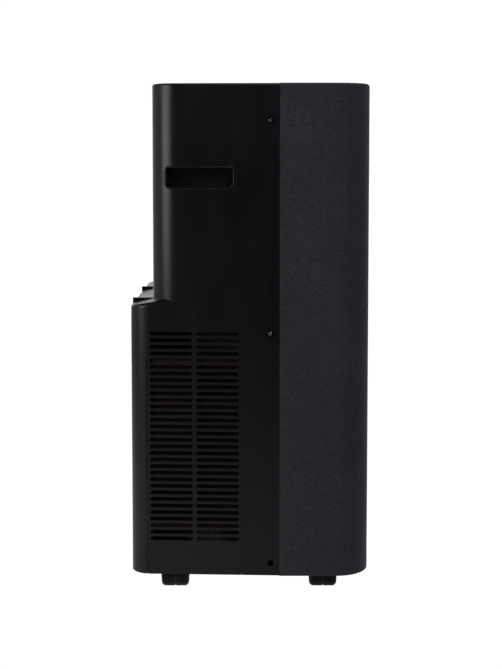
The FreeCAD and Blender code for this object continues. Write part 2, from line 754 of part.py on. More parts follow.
# ---------------------------------------------------------------- fans, scrolls and motors

def blower_wheel(name, radius, width, shaft, rotation, x, y, z):
    """Forward-curved blower wheel with hub and shaft, its back disc at the local origin."""
    body = new_body(name + "_body")
    disc, hub, shaft_radius = "2", "14", "4"
    prism(body, "XY", [("circle", "0", "0", radius)], "0", disc)
    prism(body, "XY", [("circle", "0", "0", hub)], disc, "24")
    prism(body, "XY", [("circle", "0", "0", shaft_radius)], "-" + shaft, "0")
    inner, outer = radius + " - 13", radius + " - 1"
    prism(body, "XY", [("circle", "0", "0", radius), ("circle", "0", "0", inner)], width + " - 3", width)
    blade = [(inner, "-2"), (outer, "2"), (outer, "3.4"), (inner, "-0.6")]
    blade_feature = prism(body, "XY", [blade], "1", width + " - 1")
    polar = body.newObject("PartDesign::PolarPattern", name + "_blades")
    polar.Originals = [blade_feature]
    polar.Axis = (origin_feature(body, "Z_Axis"), [""])
    polar.Angle = 360
    polar.Occurrences = 36
    body.Tip = polar
    DOC.recompute()
    place(body, x, y, z, rotation)
    piece(name, body)


def motor(name, axis, start, radius, length):
    can = rod(name + "_can", axis, start, radius, length)
    bore = rod(name + "_bore", axis, start, "4.05", length)
    piece(name, cut(name + "_cut", can, bore))


def cold_air_path():
    """Evaporator coil, blower scroll, wheel and motor, and the tray under them."""
    wall = "dims.thin_wall"
    fan_z = "dims.evaporator_fan_z"
    body = new_body("evaporator_scroll_body")
    half = "dims.duct_half_width"
    radius = "95"
    prism(body, "XZ", [("circle", "0", fan_z, radius)], "dims.duct_front", "dims.duct_rear")
    prism(body, "XZ", [rectangle("-94", fan_z, half, "640")], "dims.duct_front", "dims.duct_rear")
    prism(body, "XZ", [rectangle("-60", "441", "60", "470")], "dims.duct_front", "dims.duct_rear")
    inside_front, inside_rear = "dims.duct_front + " + wall, "dims.duct_rear - " + wall
    prism(body, "XZ", [("circle", "0", fan_z, radius + " - " + wall)], inside_front, inside_rear, cut=True)
    throat = rectangle("-92", fan_z, half + " - " + wall, "650")
    prism(body, "XZ", [throat], inside_front, inside_rear, cut=True)
    prism(body, "XZ", [("circle", "0", fan_z, "70")], inside_rear + " - 1", "dims.duct_rear + 5", cut=True)
    prism(body, "XZ", [("circle", "0", fan_z, "16")], "dims.duct_front - 5", inside_front + " + 1",
          cut=True)
    piece("evaporator_scroll", body)
    blower_wheel("evaporator_wheel", "88", "62", "38", TURNS["Y"], "0", "dims.duct_front + 8", fan_z)
    motor("evaporator_motor", "Y", ("0", "dims.duct_front - 36", fan_z), "42", "35.8")
    slab = box("evaporator_slab", ("-125", "84", "442"), ("125", "110", "688"))
    ends = [box("evaporator_end", (x, "82", "441"), (x + " + 3", "112", "689")) for x in ("-128", "125")]
    piece("evaporator_coil", join("evaporator", slab, *ends))
    tray = new_body("drip_tray_body")

    def tray_outline(inset):
        return [("-163 + %s" % inset, "-126 + %s" % inset), ("163 - %s" % inset, "-126 + %s" % inset),
                ("163 - %s" % inset, "130 - %s" % inset, "36 - %s" % inset),
                ("-163 + %s" % inset, "130 - %s" % inset, "36 - %s" % inset)]

    prism(tray, "XY", [tray_outline("0")], "424", "440")
    prism(tray, "XY", [tray_outline("2")], "426.5", "450", cut=True)
    piece("drip_tray", tray)


def hot_air_path():
    """Condenser coil behind the near grille, its blower and the scroll that feeds the exhaust."""
    fan_y, fan_z = "dims.condenser_fan_y", "dims.condenser_fan_z"
    near_x, far_x, wall = "-105", "20", "dims.thin_wall"
    inside_near, inside_far = near_x + " + " + wall, far_x + " - " + wall

    def chimney(inset):
        return [("-34 + " + inset, fan_z), ("142 - " + inset, fan_z), ("142 - " + inset, "392 - " + inset),
                ("20 + " + inset, "392 - " + inset), ("-34 + " + inset, "310")]

    body = new_body("condenser_scroll_body")
    prism(body, "YZ", [("circle", fan_y, fan_z, "98")], near_x, far_x)
    prism(body, "YZ", [chimney("0")], near_x, far_x)
    prism(body, "YZ", [("circle", fan_y, fan_z, "96")], inside_near, inside_far, cut=True)
    prism(body, "YZ", [chimney(wall)], inside_near, inside_far, cut=True)
    prism(body, "YZ", [("circle", fan_y, fan_z, "66")], near_x + " - 5", inside_near + " + 1", cut=True)
    prism(body, "YZ", [("circle", fan_y, fan_z, "16")], inside_far + " - 1", far_x + " + 5", cut=True)
    mouth = ("circle", "dims.exhaust_x", "dims.exhaust_z", "60")
    prism(body, "XZ", [mouth], "130", "150", cut=True)
    piece("condenser_scroll", body)
    blower_wheel("condenser_wheel", "82", "76", "36", FreeCAD.Rotation(V(0, 1, 0), -90),
                 far_x + " - 12", fan_y, fan_z)
    motor("condenser_motor", "X", (far_x + " + 0.2", fan_y, fan_z), "38", "30")
    slab = box("condenser_slab", ("-158", "7", "68"), ("-134", "139", "344"))
    ends = [box("condenser_end", ("-160", y, "66"), ("-132", y + " + 3", "346")) for y in ("4", "139")]
    piece("condenser_coil", join("condenser", slab, *ends))
    collar = new_body("exhaust_collar_body")
    centre = ("dims.exhaust_x", "dims.exhaust_z")
    prism(collar, "XZ", [("circle",) + centre + ("dims.exhaust_ring",)], "142.1", REAR + " - 1.3")
    prism(collar, "XZ", [("circle",) + centre + ("dims.exhaust_ring + 6",)], REAR + " - 6",
          REAR + " - dims.wall - 0.1")
    prism(collar, "XZ", [("circle",) + centre + ("dims.exhaust_bore",)], "130", REAR + " + 5", cut=True)
    piece("exhaust_collar", collar)


# ---------------------------------------------------------------- refrigeration and electrics

ACCUMULATOR = (150, -62)


def tube(points, radius, bend):
    """A pipe along straight runs joined by tangent arcs."""
    edges = []
    start = points[0]
    for i in range(1, len(points) - 1):
        entry, leave, centre, _ = corner_arc(points[i], points[i - 1], points[i + 1], bend)
        middle = centre + (points[i] - centre).normalize() * bend
        edges.append(Part.LineSegment(start, entry).toShape())
        edges.append(Part.Arc(entry, middle, leave).toShape())
        start = leave
    edges.append(Part.LineSegment(start, points[-1]).toShape())
    path = Part.Wire(edges)
    section = Part.Wire(Part.makeCircle(radius, points[0], points[1] - points[0]))
    solid = path.makePipeShell([section], True, True)
    expected = math.pi * radius ** 2 * path.Length
    if abs(solid.Volume / expected - 1) > 0.02:
        raise ValueError("a pipe has lost its section")
    return solid


def refrigerant_lines():
    """Discharge, liquid and suction pipes, and the accumulator's own outlet pipe."""
    comp_x, comp_y = value("dims.compressor_x"), value("dims.compressor_y")
    acc_x, acc_y = ACCUMULATOR
    shell = value("dims.compressor_radius")
    inward = V(comp_x - acc_x, comp_y - acc_y, 0)
    at_shell = V(acc_x, acc_y, 0) + inward * ((inward.Length - shell + 0.5) / inward.Length)
    pipes = (
        ((comp_x, comp_y, 275), (comp_x, comp_y, 345), (comp_x, -72, 345), (-146, -72, 345),
         (-146, -72, 300), (-146, 4, 300)),
        ((-146, 4, 90), (-146, -140, 90), (-150, -140, 470), (-150, 97, 470), (-128, 97, 470)),
        ((128, 97, 480), (152, 97, 480), (152, -140, 480), (152, -140, 300), (acc_x, acc_y, 300),
         (acc_x, acc_y, 250)),
        ((acc_x, acc_y, 110), (acc_x, acc_y, 88), (at_shell.x, at_shell.y, 88)),
    )
    solids = [tube([V(*point) for point in pipe], 4, 9) for pipe in pipes]
    lines = DOC.addObject("Part::Feature", "pipes")
    lines.Shape = Part.makeCompound(solids)
    piece("refrigerant_lines", lines)


def refrigeration():
    comp = ("dims.compressor_x", "dims.compressor_y")
    shell = rod("compressor_can", "Z", comp + ("56",), "dims.compressor_radius", "219")
    rounded = DOC.addObject("Part::Fillet", "compressor_shell")
    rounded.Base = shell
    DOC.recompute()
    rounded.Edges = [(i, 16, 16) for i, edge in enumerate(shell.Shape.Edges, 1) if edge.Closed]
    plate = rod("compressor_plate", "Z", comp + ("52",), "64", "4.1")
    piece("compressor", join("compressor_join", rounded, plate))
    feet = []
    for degrees in (90, 210, 330):
        x = "%s + 52 * cos(%d deg)" % (comp[0], degrees)
        y = "%s + 52 * sin(%d deg)" % (comp[1], degrees)
        feet.append(rod("rubber_foot", "Z", (x, y, "dims.shell_bottom + 3.4"), "11", "19.4"))
    piece("compressor_feet", join("feet", *feet))
    accumulator = rod("accumulator_can", "Z", (str(ACCUMULATOR[0]), str(ACCUMULATOR[1]), "110"), "20", "140")
    piece("accumulator", accumulator)
    refrigerant_lines()


def electrics():
    body = new_body("electrical_box_body")
    prism(body, "XZ", [rectangle("-120", "250", "10", "400")], "-158", "-126")
    prism(body, "XZ", [rectangle("-118", "252", "8", "398")], "-160", "-128", cut=True)
    piece("electrical_box", body)
    piece("run_capacitor", rod("capacitor_can", "Z", ("60", "-138", "255"), "18", "75"))
    gland = new_body("cord_gland_body")
    centre = ("dims.cord_x", "dims.cord_z")
    prism(gland, "XZ", [("circle",) + centre + ("dims.drain_outer",)], "150", REAR + " - 0.4")
    prism(gland, "XZ", [("circle",) + centre + ("dims.drain_outer + 2",)], REAR + " - 6",
          REAR + " - dims.wall - 0.1")
    prism(gland, "XZ", [("circle",) + centre + ("dims.cord_bore",)], "140", REAR + " + 5", cut=True)
    piece("cord_gland", gland)


def drain(prefix, z, inner_end, mouth):
    """A drain spout along Y and the plug that pulls out of its mouth."""
    body = new_body(prefix + "_spout_body")
    centre = ("dims.drain_x", z)
    prism(body, "XZ", [("circle",) + centre + ("dims.drain_outer",),
                       ("circle",) + centre + ("dims.drain_bore",)], inner_end, mouth)
    piece(prefix + "_drain_spout", body)
    stem = rod("plug_stem", "Y", ("dims.drain_x", "(%s) - 11" % mouth, z), "dims.drain_bore - 0.06", "11.1")
    cap = rod("plug_cap", "Y", ("dims.drain_x", "(%s) + 0.1" % mouth, z), "dims.drain_outer - 1", "3.2")
    piece(prefix + "_drain_plug", join("plug", stem, cap))


# ---------------------------------------------------------------- base and casters

CASTERS = (
    ("near_rear", -1, "dims.caster_rear_y"),
    ("near_front", -1, "dims.caster_front_y"),
    ("far_rear", 1, "dims.caster_rear_y"),
    ("far_front", 1, "dims.caster_front_y"),
)


def base_pan():
    """Tray that closes the casing below, with a turret over each caster."""

    def pan_outline(inset):
        half = "%s - dims.fabric_thickness - dims.wall - 0.6 - (%s)" % (HALF_WIDTH, inset)
        front = "%s + dims.fabric_thickness + dims.wall + 0.6 + (%s)" % (FRONT, inset)
        rear = "(%s - dims.wall - 0.4 - (%s))" % (REAR, inset)
        rear_inset = "dims.wall + 0.4 + (%s)" % inset
        front_radius = "dims.front_corner - dims.fabric_thickness - dims.wall - 0.6 - (%s)" % inset
        rear_radius = "dims.lower_corner - 3 - (%s)" % inset
        rear_x = side_x(rear, rear_inset)
        return [("-(%s)" % half, front, front_radius), (half, front, front_radius),
                (half, "dims.seam_y - 1"), (rear_x, rear, rear_radius), ("-" + rear_x, rear, rear_radius),
                ("-(%s)" % half, "dims.seam_y - 1")]

    body = new_body("base_pan_body")
    bottom = "dims.shell_bottom + 0.2"
    prism(body, "XY", [pan_outline("0")], bottom, "64")
    prism(body, "XY", [pan_outline("dims.wall")], bottom + " + 3", "70", cut=True)
    centres = [("%d * dims.caster_x" % side, y) for _, side, y in CASTERS]
    wells = [("circle",) + centre + ("dims.turret_radius",) for centre in centres]
    turrets = [("circle",) + centre + ("dims.turret_radius + 2.5",) for centre in centres]
    prism(body, "XY", turrets, bottom + " + 1", "dims.turret_roof + 3")
    prism(body, "XY", wells, bottom + " - 5", "dims.turret_roof", cut=True)
    prism(body, "XY", [("circle",) + centre + ("9",) for centre in centres], "dims.turret_roof + 2", "60")
    prism(body, "XY", [("circle",) + centre + ("4.05",) for centre in centres], "40", "65", cut=True)
    drain_hole = ("circle", "dims.drain_x", "dims.lower_drain_z", "dims.drain_outer + 0.2")
    prism(body, "XZ", [drain_hole], "155", REAR, cut=True)
    boss_hole = ("circle", "dims.screw_y", "dims.screw_low_z", "7.4")
    prism(body, "YZ", [boss_hole], "-" + BEYOND, BEYOND, cut=True)
    piece("base_pan", body)


def caster(name, side, y):
    """Twin-wheel caster: a fork with hood, stem and axle, and a pair of wheels beside its web."""
    pivot_x = "%d * dims.caster_x" % side
    axle_x = "%d * (dims.caster_x + dims.caster_trail)" % side
    radius, axle_z = "dims.wheel_radius", "dims.wheel_radius"
    web_low, web_high = sorted((pivot_x, axle_x), key=value)
    web = box("web", (web_low + " - 7", y + " - 1", axle_z), (web_high + " + 7", y + " + 1", "44"))
    disc = rod("disc", "Y", (axle_x, y + " - 1", axle_z), radius + " - 0.6", "2")
    hub = rod("hub", "Y", (axle_x, y + " - 5.5", axle_z), "7.5", "11")
    stem = rod("stem", "Z", (pivot_x, y, "43"), "4", "16.5")
    flange = rod("flange", "Z", (pivot_x, y, "42.6"), "13", "3.4")
    axle = rod("axle", "Y", (axle_x, y + " - 18.5", axle_z), "dims.axle_radius", "37")
    hood_start = (axle_x, y + " - dims.wheel_outer_y", axle_z)
    hood_round = rod("hood_outside", "Y", hood_start, radius + " + 3.2", "2 * dims.wheel_outer_y")
    hood_inner = (axle_x, y + " - 25", axle_z)
    hood_hollow = rod("hood_inside", "Y", hood_inner, radius + " + 1.2", "50")
    below = box("below_hood", (axle_x + " - 30", y + " - 30", "-10"), (axle_x + " + 30", y + " + 30", "31"))
    hood = cut("hood", hood_round, hood_hollow, below)
    piece("caster_fork_" + name, join("fork", web, disc, hub, stem, flange, axle, hood))
    wheels = []
    for direction in (-1, 1):
        outer_y = "%s + %d * dims.wheel_outer_y" % (y, direction)
        start = outer_y if direction < 0 else outer_y + " - dims.wheel_width"
        tread = rod("tread", "Y", (axle_x, start, axle_z), radius, "dims.wheel_width")
        rounded = DOC.addObject("Part::Fillet", "rounded_tread")
        rounded.Base = tread
        DOC.recompute()
        edges = []
        for i, edge in enumerate(tread.Shape.Edges, 1):
            if edge.Closed:
                outside = abs(edge.BoundBox.Center.y - value(outer_y)) < 1
                size = 6.2 if outside else 0.6
                edges.append((i, size, size))
        rounded.Edges = edges
        bore = rod("wheel_bore", "Y", (axle_x, start, axle_z), "dims.axle_radius + 0.05", "dims.wheel_width")
        recess = rod("hub_recess", "Y", (axle_x, y + " - 6", axle_z), "8.5", "12")
        wheels.append(cut("wheel", rounded, bore, recess))
    piece("caster_wheels_" + name, join("wheel_pair", *wheels))


# ---------------------------------------------------------------- assembly

inside_of_casing = casing_inside()
rear_casing(inside_of_casing)
grip_cup("grip_cup_near", -1, inside_of_casing)
grip_cup("grip_cup_far", 1, inside_of_casing)
case_screws()
front_shell()
top_panel()
controls()
outlet_flap()
outlet_duct()
swing_vanes()
rear_intake()
condenser_filter()
cold_air_path()
hot_air_path()
refrigeration()
electrics()
drain("upper", "dims.upper_drain_z", "130.2", "dims.upper_rear_y + 6")
drain("lower", "dims.lower_drain_z", "151.2", REAR + " - 6")
base_pan()
for caster_name, caster_side, caster_y in CASTERS:
    caster(caster_name, caster_side, caster_y)

DOC.recompute()
for thing in DOC.Objects:
    if "Invalid" in thing.State or "Error" in thing.State:
        raise ValueError("%s has failed: %s" % (thing.Label, thing.State))
os.makedirs("parts", exist_ok=True)
for thing in PIECES:
    shape = thing.Shape
    if shape.isNull() or not shape.isValid():
        raise ValueError("%s is not a valid shape" % thing.Label)
    shape.exportStep("parts/%s.step" % thing.Label)
    print(thing.Label, len(shape.Solids), round(shape.Volume), shape.BoundBox)
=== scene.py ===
"""Looks of a portable air conditioner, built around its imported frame.

Lengths are written in millimetres, scaled by MM, in the frame's own axes: +Z up, the fabric front faces
-Y, the exhaust side faces +Y, and "near" names the -X side.
"""
import json
import math

import bpy
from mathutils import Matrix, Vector, noise


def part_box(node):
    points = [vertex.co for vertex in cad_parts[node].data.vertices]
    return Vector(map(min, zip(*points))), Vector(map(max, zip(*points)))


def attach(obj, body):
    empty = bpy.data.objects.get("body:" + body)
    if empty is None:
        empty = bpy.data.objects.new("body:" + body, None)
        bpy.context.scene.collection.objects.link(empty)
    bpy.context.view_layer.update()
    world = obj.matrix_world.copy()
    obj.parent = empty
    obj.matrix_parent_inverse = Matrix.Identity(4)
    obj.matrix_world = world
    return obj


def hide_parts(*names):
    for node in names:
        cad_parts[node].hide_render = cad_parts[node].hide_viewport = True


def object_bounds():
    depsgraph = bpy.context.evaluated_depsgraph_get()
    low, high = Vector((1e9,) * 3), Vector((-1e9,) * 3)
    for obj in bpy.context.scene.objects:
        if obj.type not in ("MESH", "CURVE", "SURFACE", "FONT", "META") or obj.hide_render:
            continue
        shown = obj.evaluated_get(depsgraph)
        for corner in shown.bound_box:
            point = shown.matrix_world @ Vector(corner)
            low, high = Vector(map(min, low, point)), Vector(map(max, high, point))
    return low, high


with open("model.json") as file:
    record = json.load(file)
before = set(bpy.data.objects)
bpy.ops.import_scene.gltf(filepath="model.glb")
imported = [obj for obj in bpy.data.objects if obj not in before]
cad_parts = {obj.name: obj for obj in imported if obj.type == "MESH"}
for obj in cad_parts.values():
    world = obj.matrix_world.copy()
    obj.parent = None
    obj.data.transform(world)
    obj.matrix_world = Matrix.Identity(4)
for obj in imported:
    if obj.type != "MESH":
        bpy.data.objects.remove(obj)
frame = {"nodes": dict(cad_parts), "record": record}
CAD_LOW, CAD_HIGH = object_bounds()
MM = 0.001
NODES = frame["nodes"]
SLOT_OF = {part["node"]: part["material_slot"] for part in frame["record"]["subparts"]}
BODY_OF = {node: body for body, nodes in frame["record"]["behaviour"]["bodies"].items() for node in nodes}

# the casing's faces: the outer ones as the frame has them, the rest repeated from the CAD model
HALF_WIDTH = CAD_HIGH.x / MM
SEAM_Y = -40.5
REAR_Y = CAD_HIGH.y / MM
UPPER_REAR_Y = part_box("intake_grille")[1].y / MM
SIDE_TAPER = math.tan(math.radians(2.35))
SLOT_PITCH = 9.35
SLOT_HEIGHT = 5.8
SLOT_ROUND = 2.8
SCREW_Y = -28.5


def side_x(y):
    """Half the casing's width at depth y, in millimetres."""
    return HALF_WIDTH - (y - SEAM_Y) * SIDE_TAPER


# ---------------------------------------------------------------- materials

class Graph:
    """A material's node tree, with one call per node."""

    def __init__(self, name):
        self.material = bpy.data.materials.new(name)
        self.material.use_nodes = True
        self.tree = self.material.node_tree
        self.shader = self.tree.nodes["Principled BSDF"]

    def add(self, kind, sockets=None, **properties):
        node = self.tree.nodes.new("ShaderNode" + kind)
        for key, setting in properties.items():
            setattr(node, key, setting)
        for key, setting in (sockets or {}).items():
            self.feed(node, key, setting)
        return node

    def feed(self, node, key, setting):
        if isinstance(setting, bpy.types.NodeSocket):
            self.tree.links.new(setting, node.inputs[key])
        else:
            node.inputs[key].default_value = setting

    def set(self, **sockets):
        for key, setting in sockets.items():
            self.feed(self.shader, key.replace("_", " "), setting)

    def coords(self, stretch=(1, 1, 1)):
        place = self.add("TexCoord").outputs["Object"]
        return self.add("Mapping", {"Vector": place, "Scale": stretch}).outputs["Vector"]

    def noise(self, vector, scale, detail=2.0, rough=0.5):
        return self.add("TexNoise", {"Vector": vector, "Scale": scale, "Detail": detail,
                                     "Roughness": rough}).outputs["Fac"]

    def between(self, factor, low, high, start=0.3, end=0.7):
        """Maps a factor from start..end to low..high."""
        return self.add("MapRange", {"Value": factor, "From Min": start, "From Max": end,
                                     "To Min": low, "To Max": high}).outputs["Result"]

    def tint(self, factor, low, high, start=0.3, end=0.7):
        ramp = self.add("ValToRGB", {"Fac": factor})
        for element, position, colour in zip(ramp.color_ramp.elements, (start, end), (low, high)):
            element.position = position
            element.color = (*colour, 1)
        return ramp.outputs["Color"]

    def math(self, operation, first, second):
        node = self.add("Math", operation=operation)
        self.feed(node, 0, first)
        self.feed(node, 1, second)
        return node.outputs["Value"]

    def bump(self, height, strength, depth, under=None):
        sockets = {"Height": height, "Strength": strength, "Distance": depth * MM}
        if under is not None:
            sockets["Normal"] = under
        return self.add("Bump", sockets).outputs["Normal"]


def shaded(colour, factor):
    return tuple(channel * factor for channel in colour)


def plastic(name, colour, roughness, grain=0.5, relief=0.03, spread=0.12, specular=0.5):
    """Moulded plastic: spark-eroded grain, faint mottling, and wipe marks in its gloss."""
    graph = Graph(name)
    place = graph.coords()
    mottle = graph.noise(place, 14, 4)
    wiped = graph.noise(graph.coords((1, 1, 0.25)), 30, 3, 0.6)
    sparks = graph.noise(place, 1000 / grain, 2, 0.6)
    graph.set(Base_Color=graph.tint(mottle, shaded(colour, 1 - spread), shaded(colour, 1 + spread)),
              Roughness=graph.between(wiped, roughness - 0.035, roughness + 0.035),
              Normal=graph.bump(sparks, 0.5, relief), IOR=1.46)
    graph.shader.inputs["Specular IOR Level"].default_value = specular
    return graph.material


def metal(name, colour, roughness, stretch=(1, 1, 30), spread=0.15):
    """Bare or plated metal with drawn or brushed streaks."""
    graph = Graph(name)
    streaks = graph.noise(graph.coords(stretch), 60, 5, 0.7)
    patina = graph.noise(graph.coords(), 25, 4)
    graph.set(Base_Color=graph.tint(patina, shaded(colour, 1 - spread), colour),
              Roughness=graph.between(streaks, roughness - 0.08, roughness + 0.08),
              Normal=graph.bump(streaks, 0.3, 0.05), Metallic=1.0)
    return graph.material


def rubber(name, colour):
    graph = Graph(name)
    bloom = graph.noise(graph.coords(), 40, 5, 0.65)
    pores = graph.noise(graph.coords(), 2600, 2)
    graph.set(Base_Color=graph.tint(bloom, colour, shaded(colour, 1.7), 0.35, 0.75),
              Roughness=graph.between(bloom, 0.62, 0.8), Normal=graph.bump(pores, 0.5, 0.05))
    return graph.material


def knit(name, colour):
    """Dark heather knit: fine courses and wales, uneven yarn, short pale slubs, sparse dark flecks, and
    painted shade in the pits between loops.
    """
    graph = Graph(name)
    place = graph.coords()
    course_pitch, wale_pitch = 1.25, 1.05
    split = graph.add("SeparateXYZ", {"Vector": place}).outputs
    sway = graph.math("MULTIPLY", graph.noise(place, 90, 2), 0.9 * MM)
    round_plan = graph.math("ADD", split["X"], split["Y"])
    courses = graph.math("SINE", graph.math("MULTIPLY", graph.math("ADD", split["Z"], sway),
                                            2 * math.pi / (course_pitch * MM)), 0)
    wales = graph.math("SINE", graph.math("MULTIPLY", graph.math("ADD", round_plan, sway),
                                          2 * math.pi / (wale_pitch * MM)), 0)
    loops = graph.between(graph.math("MULTIPLY", courses, wales), 0, 1, -1, 1)
    slubs = graph.noise(graph.coords((0.42, 0.42, 1)), 560, 4, 0.7)
    fibres = graph.noise(place, 1500, 2, 0.6)
    cloudy = graph.noise(graph.coords((1, 1, 0.6)), 16, 4, 0.6)
    yarn = graph.tint(slubs, shaded(colour, 0.72), shaded(colour, 1.38), 0.36, 0.66)
    shade = graph.between(cloudy, 0.88, 1.1)
    # painted shade: the yarn colour is darkened where the loops sink, in the pits between them
    pit_shade = graph.between(loops, 0.72, 1.08, 0.0, 0.8)
    flecks = graph.between(graph.noise(graph.coords((1, 1, 2.2)), 230, 3, 0.6), 0.74, 1, 0.31, 0.42)
    depth = graph.math("MULTIPLY", graph.math("MULTIPLY", shade, flecks), pit_shade)
    tone = graph.add("Mix", {"Factor": 1.0}, data_type="RGBA", blend_type="MULTIPLY")
    grey = graph.add("CombineColor", {"Red": depth, "Green": depth, "Blue": depth}).outputs["Color"]
    first_colour, second_colour, mixed = 6, 7, 2
    graph.feed(tone, first_colour, yarn)
    graph.feed(tone, second_colour, grey)
    relief = graph.bump(loops, 0.55, 0.22)
    graph.set(Base_Color=tone.outputs[mixed], Roughness=graph.between(fibres, 0.78, 0.92),
              Normal=graph.bump(fibres, 0.4, 0.08, relief))
    graph.shader.inputs["Specular IOR Level"].default_value = 0.25
    graph.shader.inputs["Sheen Weight"].default_value = 0.25
    graph.shader.inputs["Sheen Roughness"].default_value = 0.5
    return graph.material


def foam(name, colour):
    graph = Graph(name)
    cells = graph.add("TexVoronoi", {"Vector": graph.coords(), "Scale": 420.0}).outputs["Distance"]
    # painted shade: each foam cell is darkened towards its centre, where the bump sinks into a hollow
    graph.set(Base_Color=graph.tint(cells, shaded(colour, 0.8), colour, 0.1, 0.7), Roughness=0.9,
              Normal=graph.bump(cells, 0.6, 0.3))
    return graph.material


def board_lacquer(name):
    """Green lacquered circuit board with paler tracks."""
    graph = Graph(name)
    tracks = graph.add("TexBrick", {"Vector": graph.coords(), "Scale": 90.0, "Mortar Size": 0.018,
                                    "Color1": (0.004, 0.05, 0.02, 1), "Color2": (0.006, 0.07, 0.025, 1),
                                    "Mortar": (0.02, 0.16, 0.06, 1)})
    graph.set(Base_Color=tracks.outputs["Color"], Roughness=0.3,
              Normal=graph.bump(tracks.outputs["Fac"], 0.3, 0.05))
    return graph.material


BLACK = (0.0022, 0.0021, 0.0022)
MATERIALS = {
    "housing": plastic("housing_satin", BLACK, 0.33),
    "fabric": knit("front_knit", (0.0317, 0.0345, 0.0442)),
    "carrier": plastic("carrier_matte", (0.006, 0.006, 0.0065), 0.6),
    "top_plastic": plastic("top_satin", (0.005, 0.005, 0.0055), 0.42, 0.6, 0.04),
    "control_gloss": plastic("control_gloss", (0.0025, 0.0025, 0.003), 0.10, 2.0, 0.004, 0.05),
    "buttons": plastic("button_satin", (0.012, 0.012, 0.013), 0.38, 0.35, 0.02),
    "board": board_lacquer("board_green"),
    "inner_plastic": plastic("inner_matte", (0.012, 0.012, 0.012), 0.55, 0.8, 0.05),
    "bare_steel": metal("galvanised_steel", (0.42, 0.43, 0.44), 0.42, (1, 1, 1), 0.3),
    "screws": metal("black_zinc", (0.07, 0.07, 0.075), 0.24, (1, 1, 1)),
    "filter": plastic("filter_brown", (0.021, 0.0092, 0.0066), 0.62, 0.9, 0.04, 0.3, 0.25),
    # painted shade: the fins are drawn near black to stand in for the shade inside the casing seen through
    # the slots
    "fins": metal("fin_drawn_dark_as_shade", (0.016, 0.013, 0.011), 0.55, (1, 1, 30)),
    # painted shade: the white foam is drawn dark grey to stand in for the shade inside the casing seen
    # through the slots
    "foam": foam("foam_drawn_dark_as_shade", (0.085, 0.085, 0.082)),
    "fan_plastic": plastic("fan_grey", (0.05, 0.05, 0.052), 0.5, 0.9, 0.05),
    "compressor_paint": plastic("compressor_enamel", (0.006, 0.006, 0.006), 0.28, 3.0, 0.15, 0.2),
    "rubber": rubber("black_rubber", (0.008, 0.008, 0.008)),
    "copper": metal("copper_tube", (0.62, 0.27, 0.16), 0.3, (1, 1, 1), 0.4),
    "capacitor_can": metal("capacitor_can", (0.62, 0.62, 0.63), 0.3, (30, 30, 1)),
    "base_plastic": plastic("base_matte", (0.005, 0.005, 0.0055), 0.55, 0.9, 0.06),
    "caster_body": plastic("caster_nylon", (0.006, 0.006, 0.0065), 0.42, 0.7, 0.04),
    "caster_tread": plastic("caster_tread", (0.0022, 0.0022, 0.0024), 0.46, 0.8, 0.05, 0.12, 0.25),
}


# ---------------------------------------------------------------- mesh helpers

def new_piece(name, vertices, faces, slot, body, smooth=True):
    """A mesh piece, given in millimetres, that rides a body and takes a slot's material."""
    mesh = bpy.data.meshes.new(name)
    mesh.from_pydata([Vector(vertex) * MM for vertex in vertices], [], faces)
    mesh.validate()
    thing = bpy.data.objects.new(name, mesh)
    bpy.context.scene.collection.objects.link(thing)
    mesh.materials.append(MATERIALS[slot])
    if smooth:
        mesh.shade_smooth()
    else:
        mesh.shade_flat()
    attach(thing, body)
    return thing


